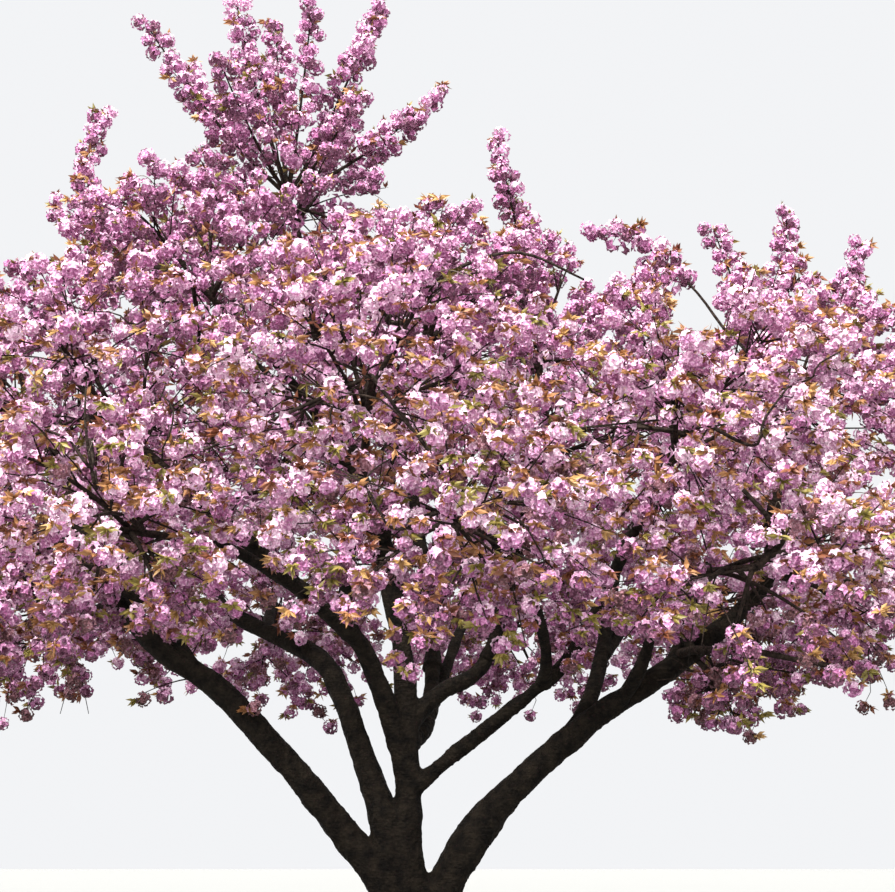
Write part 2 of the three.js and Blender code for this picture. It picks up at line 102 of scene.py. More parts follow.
# The main stems: name, start, places of the bend, mass, radii. The start is a place, or a parent and the
# share along it.
STEMS = [
    ("leader", (-0.008, 0, TRUNK_HEIGHT + GAP),
     [(-0.02, 0, 1.09), (-0.045, 0.04, 1.51), (-0.14, 0.05, 2.15), (-0.5, 0, 3.2)], "crown_top",
     (0.074, 0.036)),
    ("mid_left_stem", (-0.155, 0, TRUNK_HEIGHT + GAP),
     [(-0.225, 0.05, 0.8), (-0.42, 0.16, 1.32), (-0.59, 0.26, 1.58), (-1.24, 0.62, 1.96)], "left_rear",
     (0.078, 0.04)),
    ("left_stem", (-0.13, 0, 0.2),
     [(-0.38, 0, 0.51), (-0.71, -0.05, 0.9), (-1.13, -0.13, 1.34), (-1.54, -0.2, 1.63),
      (-1.9, -0.19, 2.08)], "left", (0.092, 0.046)),
    ("right_stem", (0.135, 0, 0.105),
     [(0.29, 0, 0.37), (0.54, 0, 0.7), (1.04, -0.05, 1.14), (1.59, -0.1, 1.51), (2.11, -0.1, 1.96)],
     "right", (0.102, 0.042)),
    ("front_stem", ("leader", 0.07), [(-0.105, -0.05, 1.14), (-0.255, -0.2, 1.54), (-0.47, -0.4, 1.76)],
     "left_front", (0.066, 0.036)),
    ("right_front_limb", ("leader", 0.042), [(0.32, -0.05, 1.02), (0.69, -0.15, 1.3), (0.96, -0.28, 1.56)],
     "right_front", (0.05, 0.032)),
    ("right_centre_limb", ("leader", 0.155), [(0.18, 0.1, 1.35), (0.46, 0.2, 1.56), (0.68, 0.16, 2.3)],
     "upper_right", (0.056, 0.028)),
    ("rear_stem", ("leader", 0.115), [(0.1, 0.33, 1.24), (0.11, 0.7, 1.9)], "upper_rear", (0.058, 0.03)),
]
# Swellings: share of the length, width and height
BURRS = {"right_stem": (0.15, 0.07, 0.02)}

# The side boughs: parent, share along it, mass, radii, rise of the heading into the mass
BOUGHS = [
    ("leader", 0.3, "heart_left", (0.036, 0.024), 0.3),
    ("leader", 0.4, "upper_rear_left", (0.036, 0.024), 0.5),
    ("leader", 0.47, "upper_front", (0.036, 0.024), 0.5),
    ("leader", 0.54, "upper_left", (0.036, 0.024), 0.5),
    ("front_stem", 0.42, "front", (0.042, 0.026), 0.4),
    ("front_stem", 0.6, "low_front_left", (0.036, 0.024), -0.05),
    ("mid_left_stem", 0.55, "low_rear_left", (0.038, 0.024), -0.05),
    ("left_stem", 0.48, "low_left_front", (0.038, 0.024), -0.05),
    ("left_stem", 0.66, "low_left_rear", (0.036, 0.024), -0.05),
    ("right_front_limb", 0.45, "low_front_right", (0.034, 0.022), -0.05),
    ("right_centre_limb", 0.3, "heart_right", (0.034, 0.022), 0.4),
    ("rear_stem", 0.3, "rear", (0.044, 0.026), 0.4),
    ("rear_stem", 0.16, "low_rear_right", (0.04, 0.024), -0.05),
    ("right_stem", 0.4, "right_rear", (0.05, 0.028), 0.4),
    ("right_stem", 0.5, "low_right_front", (0.04, 0.024), -0.1),
    ("right_stem", 0.6, "low_right", (0.04, 0.024), -0.2),
    ("right_rear_bough", 0.35, "low_right_rear", (0.034, 0.022), -0.1),
    ("low_right_bough", 0.32, "hanging_right", (0.024, 0.018), -0.6),
]

RINGS = [
    dict(names=["upper_right", "upper_rear", "upper_rear_left", "upper_left", "upper_front"],
         heights=[3.68, 3.85, 3.9, 3.7, 3.35],
         middle=(-0.4, 0), reach=(1.25, 1.2), first=8, radii=(0.9, 0.9, 0.72)),
    dict(names=["right", "right_rear", "rear", "left_rear", "left", "left_front", "front", "right_front"],
         heights=[3.1, 2.95, 2.95, 3.0, 3.05, 2.82, 2.75, 2.66],
         middle=(0, 0), reach=(2.33, 2.03), first=-4, radii=(1.08, 1.08, 0.88)),
    dict(names=["low_right", "low_right_rear", "low_rear_right", "low_rear_left", "low_left_rear",
                "low_left_front", "low_front_left", "low_front_right", "low_right_front"],
         heights=[1.93, 1.95, 2.0, 2.0, 1.9, 1.87, 2.0, 1.99, 1.83],
         middle=(0, 0), reach=(2.6, 2.35), first=-6, radii=(0.98, 0.98, 0.72)),
]
LONE_MASSES = [
    ("crown_top", (-0.8, 0, 4.5), (0.72, 0.7, 0.56)),
    ("heart_left", (-0.9, 0.1, 2.8), (0.76, 0.76, 0.76)),
    ("heart_right", (1.0, -0.42, 2.86), (0.74, 0.74, 0.74)),
    ("hanging_right", (1.78, -0.56, 1.33), (0.43, 0.4, 0.3)),
]
# The tips of the upright shoots, and the bend of one that turns upright
SHOOTS = {
    "crown_top": [(-1.72, -0.25, 5.63), (-1.54, 0.45, 5.65), (-1.17, -0.1, 5.9), (-0.94, 0.28, 5.88),
                  (-0.645, -0.3, 5.72), (-0.24, 0.05, 5.89), (0.18, -0.12, 5.21), (-0.32, -0.56, 4.99),
                  (-0.42, 0.64, 5.48), (-1.18, -0.64, 5.18)],
    "upper_left": [(-1.99, -0.06, 5.09), (-2.28, -0.15, 4.42)],
    "upper_right": [(0.535, -0.06, 4.92)],
    "right": [(1.9, -0.1, 4.28), (2.36, -0.12, 4.39), (2.83, -0.1, 4.18)],
    "left": [(-2.7, -0.08, 4.02)],
}
SHOOT_BENDS = {(-1.99, -0.06, 5.09): (-2.34, -0.3, 4.0)}

# Finer boughs that show through the blossom: the mass in whose middle each starts, or the limb, then places
# and radii, and for one that carries clusters, the share of its length from which it does
FINE_BOUGHS = [
    ("upper_front", [(-0.11, -1.5, 3.2), (0.18, -1.7, 3.375), (0.445, -1.76, 3.48), (0.656, -1.75, 3.49),
                     (0.947, -1.68, 3.375)], (0.017, 0.006)),
    ("upper_front", [(0.2, -1.55, 3.35), (0.42, -1.76, 3.38), (0.494, -1.8, 3.03)], (0.007, 0.003)),
    ("right_front", [(1.9, -1.3, 2.98), (1.738, -1.22, 3.27), (1.606, -1.2, 3.474), (1.415, -1.2, 3.663),
                     (1.278, -1.2, 3.78), (1.025, -1.2, 3.82)], (0.014, 0.003), 0.62),
    ("front", [(0.19, -2.62, 2.15), (0.1, -2.66, 2.26), (-0.08, -2.68, 2.45), (-0.26, -2.67, 2.49),
               (-0.47, -2.64, 2.56)], (0.011, 0.003)),
    ("low_front_right", [(-0.02, -2.88, 1.81), (-0.15, -2.93, 2.0), (-0.35, -2.9, 2.12)], (0.01, 0.003)),
    ("low_front_right", [(-0.04, -2.86, 1.86), (-0.14, -2.92, 2.03), (0.05, -2.76, 2.21)], (0.007, 0.003)),
    ("upper_left", [(-1.4, -1.7, 3.13), (-1.52, -1.78, 3.16), (-1.67, -1.78, 3.17), (-1.81, -1.76, 3.23)],
     (0.009, 0.003)),
    ("front", [(-1.12, -2.1, 2.3), (-1.13, -2.2, 2.44), (-1.13, -2.2, 2.54), (-1.2, -2.16, 2.62)],
     (0.012, 0.004)),
    ("front", [(-0.9, -1.8, 2.44), (-1.0, -1.84, 2.54), (-1.12, -1.84, 2.65)], (0.008, 0.003)),
    ("left_front", [(-1.5, -2.16, 2.15), (-1.52, -2.28, 2.31), (-1.54, -2.3, 2.47), (-1.55, -2.26, 2.66)],
     (0.024, 0.004)),
    ("left_front", [(-1.51, -2.22, 2.24), (-1.62, -2.28, 2.36), (-1.74, -2.26, 2.41)], (0.018, 0.007)),
    ("right_front", [(0.9, -1.95, 2.5), (1.06, -2.05, 2.48), (1.2, -2.03, 2.44)], (0.007, 0.003)),
    ("low_front_right", [(0.64, -2.48, 1.72), (0.61, -2.61, 1.82), (0.54, -2.62, 1.91),
                         (0.44, -2.6, 1.98)], (0.008, 0.003)),
    ("right_front", [(1.72, -2.15, 2.36), (1.76, -2.28, 2.46), (1.88, -2.32, 2.62)], (0.013, 0.005)),
    ("right_front", [(2.0, -2.1, 2.7), (2.05, -2.18, 2.76), (2.18, -2.16, 2.84)], (0.009, 0.004)),
    ("low_right_front", [(1.92, -1.8, 1.95), (1.85, -1.9, 2.02), (1.78, -1.95, 2.09), (1.7, -1.95, 2.18)],
     (0.02, 0.011)),
    ("low_front_right", [(0.48, -2.22, 1.76), (0.6, -2.1, 1.38)], (0.008, 0.003), 0.45),
    ("low_front_right", [(0.7, -2.15, 1.78), (0.9, -2.05, 1.43)], (0.008, 0.003), 0.45),
    ("low_right_front", [(1.35, -1.9, 1.7), (1.08, -2.0, 1.42)], (0.008, 0.003), 0.45),
    ("front", [(-0.32, -2.4, 2.72), (-0.05, -2.52, 2.55)], (0.007, 0.003), 0.4),
    ("front", [(-0.34, -2.42, 2.46), (-0.2, -2.5, 2.18)], (0.007, 0.003), 0.4),
    ("right_front", [(1.3, -1.95, 2.74), (1.42, -2.08, 2.42)], (0.007, 0.003), 0.35),
    ("low_right_bough", [(1.66, -0.3, 1.56), (1.78, -0.6, 1.52), (1.94, -0.9, 1.48), (2.14, -1.1, 1.41),
                         (2.34, -1.2, 1.36)], (0.03, 0.012), 0.86),
    ("low_right_bough", [(1.69, -0.35, 1.54), (1.85, -0.7, 1.45), (1.99, -0.9, 1.39), (2.16, -1.0, 1.35)],
     (0.012, 0.005), 0.8),
]
FINE_BOUGH_AT = 0.2

FIRST_SEED = 101
SEED_STEP = 37
TWIG_SEED = 20
BLOSSOM_SEED = 7
GOLDEN_ANGLE = math.pi * (3 - math.sqrt(5))
ANY_TURN = 6
# A twig that doesn't fit is drawn back to these shares of its reach, one after the other
PULLS = (1, 0.88, 0.76, 0.64)

# The solids' own twigs and sprays
CORE_POINTS = 42
TWIGS = 10
TWIG_REACH = 0.86
TWIG_STARTS = (0.45, 0.95)
TWIG_RADII = (0.017, 0.009)
TWIG_BOW = 0.12
WAY_POINTS = 40
SPRAY_SHARE = 0.3
SPRAY_SPREAD = (0.85, 1.15)
SHOOT_RADII = (0.015, 0.004)
FIRST_TIP_RADIUS = 0.004
# The repeatable numbers are mixed from 32-bit words
WORD = 0xFFFFFFFF
WORD_STEP = 0x6D2B79F5

# The finer twigs that carry on from them, the count for a mass of the typical size
FINE_TWIGS = 84
LEAST_TWIGS = 24
TYPICAL_SIZE = 0.95
NEAR_MASS = 1.6
FINE_REACH = (0.82, 0.95)
FINE_SCATTER = 0.5
FINE_STARTS = (0.2, 0.95)
FINE_MARGIN = 0.05
FINE_RADII = (0.0065, 0.0025)
FINE_BOW = 0.1
INNER_POINTS = slice(2, 5)
# Short twigs that leave the limbs themselves
LIMB_TWIG_STEP = 0.2
LEADER_TWIG_STEP = 0.045
LIMB_TWIG_FROM = 0.42
LIMB_TWIG_SPAN = 0.55
LIMB_TWIG_MIDDLE = 0.7
LIMB_TWIG_LEAN = 0.5
LIMB_TWIG_RISE = (0, 0, 0.15)
LIMB_TWIG_LENGTH = (0.18, 0.42)
LIMB_TWIG_LOWEST = 1.25

# How many points draw each kind of twig, and how many sides its tube has
FIRST_POINTS, FIRST_SIDES = 7, 6
FINE_POINTS, FINE_SIDES = 6, 3
SHOOT_POINTS, SHOOT_SIDES = 14, 6
STEM_POINTS, STEM_SIDES = 12, 8
BOUGH_POINTS, BOUGH_SIDES = 24, 7
SWITCH_POINTS, SWITCH_SIDES = 9, 3
SPUR_SIDES = 3

# The spurs that carry the clusters, on twigs and close round shoots: spacing, lengths of the first and the
# last, rise, and room between clusters. Then the share of each kind of twig that stays bare.
CLUSTER_SPACING = 0.09
BRUSH_SPACING = 0.082
SPURS = (0.055, (0.025, 0.07), (0.025, 0.07), -0.3, CLUSTER_SPACING)
BRUSH = (0.011, (0.04, 0.125), (0.02, 0.06), 0.0, BRUSH_SPACING)
SPUR_RADII = (0.0026, 0.0014)
SPUR_LEAN = 0.4
LAST_SHARE = 1.0001
FIRST_BARE = 0.45
FINE_BARE = 0.3
LIMB_TWIG_BARE = 0.5
SHOOT_BARE = 0.34
# The last cluster fills the end of a shoot, whose twig stops this far under the tip
SHOOT_TIP = (0, 0, 0.04)

# Openings in front of fine boughs and limbs that show, as steps towards the camera
SHOWN_POINTS = 30
OPENING = 0.042
OPENING_STEPS = (0.08, 0.2, 0.32, 0.44)
# Limbs that show from the front: name, shares of the length, and how wide the opening is
SHOWN_LIMBS = (("right_stem", (0.6, 0.86), 0.085), ("left_stem", (0.45, 0.66), 0.07))
LIMB_OPENING_STEPS = np.arange(0.1, 2.4, 0.12)
# Gaps that show the sky: from, to, and how wide
SKY_GAPS = (((1.0, -0.4, 3.92), (1.3, 0.35, 4.22), 0.2), ((1.42, -2.3, 3.05), (1.82, 0.05, 3.72), 0.15))
GAP_POINTS = 24
# The lower edge: from the first height to the second, the crown thickens from this share to full
FRINGE = (1.3, 1.7, 0.3)
FRINGE_KEPT = 0.4
# The low bunch stays full
BUNCH = "hanging_right"
BUNCH_REACH = 1.2
# How far clusters and leaves may stand outside the solids' box
REACH_PAST = 0.045

# Single clusters that hang from the lowest twigs
PENDANT_TOP = 1.95
PENDANT_SHARE = 0.5
PENDANT_LENGTH = (0.04, 0.11)
PENDANT_SCATTER = 0.04
PENDANT_LOWEST = 1.02

# Bare thin twigs that arch out and hang
SWITCHES = 12
SWITCH_FROM = 3
SWITCH_SCATTER = 0.3
SWITCH_OUT = 0.8
SWITCH_DROP = (0, 0, -0.35)
SWITCH_BOW = 0.4
SWITCH_LOWEST = 1.6
SWITCH_LENGTH = (0.25, 0.5)
SWITCH_RADII = (0.003, 0.0013)

# Blossom clusters, and from how many sides each is looked at for how open it stands
INNER_SPACING = 0.115
INNER_DEPTH = 0.42
SIGHTS = 60
SIGHT_CELL = 0.034
SIGHT_DEPTH = 0.05
SIGHT_UP = (0.3, 0.2, 1.0)
SHOWN_LEAST = 0.2
HIDDEN_LEAFY = (0.35, 0.75)
CLUSTER_RADIUS = 0.04
CLUSTER_GROWTH = (0.84, 1.16)
CROWN_MIDDLE = np.array([-0.1, 0.0, 2.6])

# Double flowers, 1 in radius: reach and rise of a petal's tip and of the fold between two, and their spread
FLOWERS = 12
FLOWER_RADIUS = 0.0248
FLOWER_FACES = 8
INNER_FLOWERS = 9
INNER_FLOWER_RADIUS = 0.029
INNER_FLOWER_FACES = 4
FLOWER_KINDS = 12
PETAL_TIP = (1.0, -0.05)
PETAL_FOLD = (0.7, 0.42)
PETAL_TURN = 0.14
PETAL_REACH = (0.86, 1.12)
PETAL_RISE = 0.12
FLOWER_EYE = 0.12
FACING_SCATTER = 0.14
FLOWER_DEPTHS = (0.85, 1.12)
FLOWER_SIZES = (0.88, 1.14)
# The heart that fills each cluster, a plain octahedron, a step deeper in tone than its cluster: a painted
# shade between the flowers
HEART = (np.array([(1, 0, 0), (-1, 0, 0), (0, 1, 0), (0, -1, 0), (0, 0, 1), (0, 0, -1)], float),
         np.array([(0, 2, 4), (2, 1, 4), (1, 3, 4), (3, 0, 4), (2, 0, 5), (1, 2, 5), (3, 1, 5), (0, 3, 5)]))
HEART_SHARE = 0.86
HEART_SHADE = 0.3
HEART_SIZES = (0.9, 1.1)

# How bright a cluster is. Each zone is where a share starts from 0 and how far on it reaches 1.
TONE_STEPS = (-0.74, -0.5, -0.27, -0.06)
# The browner tones of painted shade that take the place of the five when a cluster is dusky
DUSKY_TONES = np.array([1, 5, 5, 6, 6])
# Painted light: the more open a cluster stands, the paler its tone
OPEN_ZONE = (0.1, 0.26)
HIGH_ZONE = (2.7, 0.9)
# Painted shade: deeper low down, in the crown's shade and along its lower rim
LOWER_ZONE = (2.5, -0.7)
LOW_ZONE = (2.05, -0.7)
RIM_ZONE = (1.85, -0.35)
# In the score, the facing weight makes each flower paler the more it faces up, a painted top light
SCORE = dict(middle=0.43, open_light=0.34, high=0.37, low=0.14, shaded=0.26, rim=0.4, scatter=0.16, facing=0.42,
             flower_scatter=0.07)
# Which clusters take the browner tones of painted shade: those under the crown's middle and in its shade,
# and fewer along its lower rim
UNDER_ZONE = (1.8, -0.35)
SHELTER_ZONE = (1.75, -0.6)
UNDER_MOST = 0.85
SHELTER_LEAST = 0.2
SHADED_DUSKY = 0.7
RIM_DUSKY = 0.6

# One leaf along +Z, 1 long, folded along its rib
LEAF = (np.array([(0, 0, 0), (0.19, 0.06, 0.42), (-0.19, 0.06, 0.42), (0, 0, 0.48), (0, 0.2, 1)], float),
        np.array([(0, 1, 3), (0, 3, 2), (1, 4, 3), (3, 4, 2)]))
LEAF_SIZES = (0.7, 1.25)
DROOP = 0.35
# Tufts of leaves by where they grow: the count, spread, length and shares of the four tints
TUFTS = {
    "shoot": (3, 0.6, 0.042, (0.1, 0.0, 0.42, 0.48)),
    "tip": (6, 0.55, 0.042, (0.15, 0.0, 0.45, 0.4)),
    "hidden": (5, 1.0, 0.069, (0.3, 0.0, 0.25, 0.45)),
    "high": (13, (0.75, 0.75, 0.3), 0.06, (0.5, 0.2, 0.14, 0.16)),
    "low": (13, (0.75, 0.75, 0.3), 0.06, (0.32, 0.16, 0.3, 0.22)),
}
SHOOT_LEAFY = 0.35
TIP_LEAVES_FROM = 1.9
TIP_LIFT = (0, 0, 0.3)
HIGH_FROM = 2.5
# The share of clusters with a tuft, low and high in the crown, and which way it points
TUFT_SHARES = (1.0, 0.32)
TUFT_ZONE = (2.6, 0.9)
TUFT_LEVEL = (1, 1, 0.4)
TUFT_LIFT = (0, 0, 0.6)
TUFT_SCATTER = 0.45
TUFT_RISE = 1.1
TUFT_AXIS = 0.35

MOST_TRIANGLES = 190_000
# From which rise a path, or an axis, counts as upright
UPRIGHT_PATH = 0.9
UPRIGHT_AXIS = 0.95

# The bark's meshes: the trunk and the main stems are fused by voxels
VOXEL = 0.014
EASE_FACTOR = 0.5
EASE_TIMES = 5
TRUNK_SIDES = 72
TRUNK_ROWS = 40
TRUNK_OVERLAP = 0.05
ROW_EASE = 1.4
LOBE_EASE = 1.5
LIMB_RING = 20
LIMB_ROW = 0.03
LIMB_LEAST_ROWS = 8
MAIN_COLLAR = 0.18
SIDE_COLLAR = 0.5
COLLAR_REACH = 0.13
# The bark's relief: each noise by scale and seed, its depth, and how the furrows fade upwards
LATTICE = 32
FURROW_NOISE = (26.0, 3)
FURROW_STRETCH = (1, 1, 0.32)
FURROW_DEPTH = 0.016
FURROW_MIDDLE = 0.6
FADE_FROM = 1.25
FADE_HEIGHT = 1.6
FADE_LEAST = 0.25
KNOT_NOISE = (7.0, 4)
MAIN_KNOTS = 0.018
SIDE_KNOTS = 0.012
GRAIN_NOISE = (60.0, 5)
GRAIN_DEPTH = 0.004
FOOT_EASE = 0.03


def lerp(a, b, share):
    """Between a and b."""
    return a + (b - a) * share


def rising(values, zone):
    """A share that goes from 0 to 1 over a zone: its start and how far it reaches."""
    return np.clip((values - zone[0]) / zone[1], 0, 1)


def unit(vectors):
    """Vectors made one long."""
    vectors = np.asarray(vectors, float)
    return vectors / np.maximum(np.linalg.norm(vectors, axis=-1, keepdims=True), SHORTEST)


# Curves are dense polylines with the share of the length reached at each point


class Path:
    """A curve that is walked by share of its length."""

    def __init__(self, points):
        self.points = np.asarray(points, float)
        steps = np.linalg.norm(np.diff(self.points, axis=0), axis=1)
        reached = np.concatenate([[0], np.cumsum(steps)])
        self.length = float(reached[-1])
        self.shares = reached / self.length

    def at(self, share):
        """The point, or points, at a share of the length."""
        share = np.asarray(share, float)
        return np.stack([np.interp(share, self.shares, self.points[:, k]) for k in range(3)], axis=-1)

    def heading(self, share):
        """The unit direction at a share of the length."""
        ahead = min(1, share + HEADING_STEP)
        behind = max(0, share - HEADING_STEP)
        return unit(self.at(ahead) - self.at(behind))


def bezier(*controls):
    """A Bezier curve of any order."""
    t = np.linspace(0, 1, CURVE_POINTS)[:, None]
    order = len(controls) - 1
    terms = [math.comb(order, i) * (1 - t) ** (order - i) * t ** i * np.asarray(c, float)
             for i, c in enumerate(controls)]
    return Path(sum(terms))


def through(places):
    """A Catmull-Rom curve through places."""
    places = np.asarray(places, float)
    padded = np.vstack([2 * places[0] - places[1], places, 2 * places[-1] - places[-2]])
    walked = np.linspace(0, 1, CURVE_POINTS) * (len(places) - 1)
    span = np.minimum(walked.astype(int), len(places) - 2)
    w = (walked - span)[:, None]
    p0, p1, p2, p3 = (padded[span + k] for k in range(4))
    m1 = 0.5 * (p2 - p0)
    m2 = 0.5 * (p3 - p1)
    return Path(p1 + m1 * w + (3 * (p2 - p1) - 2 * m1 - m2) * w ** 2 + (2 * (p1 - p2) + m1 + m2) * w ** 3)


# The crown's plan


def planned_masses():
    """Every mass by name: its centre, radii, mean radius and seed."""
    plan = []
    for ring in RINGS:
        for i, name in enumerate(ring["names"]):
            angle = math.radians(ring["first"] + 360 * i / len(ring["names"]))
            x = ring["middle"][0] + ring["reach"][0] * math.cos(angle)
            y = ring["middle"][1] + ring["reach"][1] * math.sin(angle)
            plan.append((name, (x, y, ring["heights"][i]), ring["radii"]))
    plan += LONE_MASSES
    return {name: dict(name=name, centre=np.array(centre, float), radii=np.array(radii, float),
                       size=float(np.mean(radii)), seed=FIRST_SEED + SEED_STEP * i)
            for i, (name, centre, radii) in enumerate(plan)}


def reach_along(mass, directions):
    """The radius of a mass's ellipsoid along unit directions."""
    return 1 / np.linalg.norm(np.asarray(directions) / mass["radii"], axis=-1)


def away_from(mass, points):
    """How far points lie from a mass's middle, 1 at its outside."""
    return np.linalg.norm((points - mass["centre"]) / mass["radii"], axis=1)


def limb_of(path, radii, mass, burr=None):
    """A limb with its radius by share of its length."""
    def radius_at(share):
        swelling = burr[2] * np.exp(-(((share - burr[0]) / burr[1]) ** 2)) if burr else 0
        return lerp(radii[0], radii[1], share) + swelling
    return dict(path=path, radii=radii, radius_at=radius_at, mass=mass)


def planned_limbs(masses):
    """Every bough by name."""
    limbs = {}
    for name, start, via, mass_name, radii in STEMS:
        if start[0] in limbs:
            start = limbs[start[0]]["path"].at(start[1])
        mass = masses[mass_name]
        places = [np.array(place, float) for place in (start, *via)]
        inward = unit(mass["centre"] - places[-1])
        places.append(mass["centre"] - ENTRY * reach_along(mass, inward) * inward)
        limbs[name] = limb_of(through(places), radii, mass, BURRS.get(name))
    for parent, at, name, radii, rise in BOUGHS:
        path = limbs[parent]["path"]
        start = path.at(at)
        mass = masses[name]
        towards = unit(mass["centre"] - start)
        inward = unit(unit(towards * (1, 1, 0)) + (0, 0, rise))
        if rise > 0:
            inward = unit(inward + towards)
        end = mass["centre"] - ENTRY * reach_along(mass, inward) * inward
        ease = BOUGH_EASE * np.linalg.norm(end - start)
        leaving = unit(BOUGH_LEAN * path.heading(at) + towards)
        curve = bezier(start, start + ease * leaving, end - ease * inward, end)
        limbs[name + "_bough"] = limb_of(curve, radii, mass)
    return limbs


def mass_stem(limb):
    """The stem of a mass goes on from its bough's tip to the mass's centre."""
    heading = limb["path"].heading(1)
    start = limb["path"].at(1.0) + GAP * heading
    centre = limb["mass"]["centre"]
    bend = start + 0.5 * np.linalg.norm(centre - start) * heading
    return limb_of(bezier(start, bend, centre), (limb["radii"][1], TWIG_RADII[0]), limb["mass"])


def room_in_cell(mass, points, masses):
    """How far points lie inside a mass's own space, which planes between the masses divide."""
    room = np.full(len(points), np.inf)
    for other in masses.values():
        if other is mass:
            continue
        across = other["centre"] - mass["centre"]
        distance = np.linalg.norm(across)
        share = 0.5 + (mass["size"] ** 2 - other["size"] ** 2) / (2 * distance ** 2)
        room = np.minimum(room, share * distance - (points - mass["centre"]) @ across / distance)
    return room


def limb_samples(limbs):
    """Places along limbs, with the radius there."""
    rows = []
    for limb in limbs:
        shares = np.linspace(0, 1, math.ceil(limb["path"].length / SAMPLE_STEP) + 1)
        rows.append(np.column_stack([limb["path"].at(shares), limb["radius_at"](shares)]))
    return np.vstack(rows)


def is_clear(points, radius, samples):
    """Whether balls of a radius keep clear of the limbs."""
    gaps = np.linalg.norm(points[:, None, :] - samples[None, :, :3], axis=2) - samples[None, :, 3]
    return gaps.min(axis=1) > radius


# Growth


def spiral(count, turn):
    """Directions spread evenly over a ball."""
    i = np.arange(count)
    level = 1 - 2 * (i + 0.5) / count
    ring = np.sqrt(1 - level ** 2)
    angle = turn + i * GOLDEN_ANGLE
    return np.column_stack([ring * np.cos(angle), ring * np.sin(angle), level])


def bowed(starts, tips, bow, count):
    """Bowed paths from starts to tips as an array of points."""
    middles = (starts + tips) / 2
    middles[:, 2] += bow * np.linalg.norm(tips - starts, axis=1)
    t = np.linspace(0, 1, count)[None, :, None]
    return (1 - t) ** 2 * starts[:, None] + 2 * t * (1 - t) * middles[:, None] + t ** 2 * tips[:, None]


def seeded(seed):
    """The solids' repeatable source of numbers from 0 to 1."""
    state = seed
    while True:
        state = (state + WORD_STEP) & WORD
        mixed = (state ^ (state >> 15)) * (1 | state) & WORD
        mixed ^= (mixed + (mixed ^ (mixed >> 7)) * (61 | mixed)) & WORD
        yield (mixed ^ (mixed >> 14)) / (WORD + 1)


def way_is_clear(start, tip, mass, masses, samples):
    """Whether a twig from start to tip keeps to its mass's space and clear of the limbs."""
    path = Path(bowed(start[None], tip[None], TWIG_BOW, WAY_POINTS)[0])
    points = path.at(np.linspace(0, 1, math.ceil(path.length / SAMPLE_STEP) + 1))
    inside = room_in_cell(mass, points[1:], masses) >= TWIG_RADII[0] + CELL_MARGIN
    return inside.all() and is_clear(points, TWIG_RADII[0] + LIMB_MARGIN, samples).all()


def source_twigs(stem, masses, samples):
    """The solids' twigs round a stem, by the same numbers."""
    mass = stem["mass"]
    numbers = seeded(mass["seed"])
    for _ in range(CORE_POINTS):
        next(numbers)
    starts, tips = [], []
    for direction in spiral(TWIGS, ANY_TURN * next(numbers)):
        radius = SPRAY_SHARE * mass["size"] * lerp(*SPRAY_SPREAD, next(numbers))
        reach = lerp(TWIG_REACH, 1, next(numbers)) * (reach_along(mass, direction) - radius)
        start = stem["path"].at(lerp(*TWIG_STARTS, next(numbers)))
        next(numbers)
        for pull in PULLS:
            tip = mass["centre"] + direction * reach * pull
            if (room_in_cell(mass, tip[None], masses)[0] >= radius + CELL_MARGIN
                    and is_clear(tip[None], radius + LIMB_MARGIN, samples)[0]
                    and way_is_clear(start, tip, mass, masses, samples)):
                starts.append(start)
                tips.append(tip)
                break
    return np.array(starts), np.array(tips)


def fine_twigs(mass, masses, samples, parents, count, draw):
    """Finer twigs by the same rule: all round, drawn back where they don't fit, or skipped."""
    directions = spiral(count, ANY_TURN * draw.random())
    directions = unit(directions + draw.normal(0, FINE_SCATTER / math.sqrt(count), directions.shape))
    full = reach_along(mass, directions) * draw.uniform(*FINE_REACH, count)
    starts = nearest_on(parents, mass["centre"] + directions * full[:, None], FINE_STARTS, draw)
    kept_starts, kept_tips = [], []
    waiting = np.arange(count)
    for pull in PULLS:
        tips = mass["centre"] + directions[waiting] * (full[waiting] * pull)[:, None]
        fits = room_in_cell(mass, tips, masses) > FINE_MARGIN
        fits &= is_clear(tips, FINE_MARGIN, samples)
        middles = bowed(starts[waiting], tips, FINE_BOW, FINE_POINTS)[:, INNER_POINTS].reshape(-1, 3)
        fits &= is_clear(middles, FINE_RADII[0], samples).reshape(len(waiting), -1).all(axis=1)
        kept_starts.append(starts[waiting][fits])
        kept_tips.append(tips[fits])
        waiting = waiting[~fits]
        if not len(waiting):
            break
    return np.vstack(kept_starts), np.vstack(kept_tips)


def nearest_on(paths, tips, share_range, draw):
    """A start for each tip on the path whose end lies nearest to it."""
    ends = paths[:, -1]
    which = np.linalg.norm(tips[:, None] - ends[None], axis=2).argmin(axis=1)
    share = draw.uniform(*share_range, len(tips)) * (paths.shape[1] - 1)
    low = np.minimum(share.astype(int), paths.shape[1] - 2)
    part = (share - low)[:, None]
    return paths[which, low] * (1 - part) + paths[which, low + 1] * part


def thinned(points, spacing):
    """Which points stay when none may lie nearer than its own spacing to one kept before it."""
    size = spacing.max()
    cells = {}
    kept = np.zeros(len(points), bool)
    around = list(itertools.product((-1, 0, 1), repeat=3))
    keys = np.floor(points / size).astype(int)
    for i, key in enumerate(map(tuple, keys)):
        near = [j for a, b, c in around for j in cells.get((key[0] + a, key[1] + b, key[2] + c), ())]
        if not near or (np.linalg.norm(points[near] - points[i], axis=1) >= spacing[i]).all():
            cells.setdefault(key, []).append(i)
            kept[i] = True
    return kept


def in_reach(points):
    """Which points lie inside the solids' box, or just outside it."""
    lowest, highest = np.array(CAD_BOX)
    return ((points > lowest - REACH_PAST) & (points < highest + REACH_PAST)).all(axis=1)


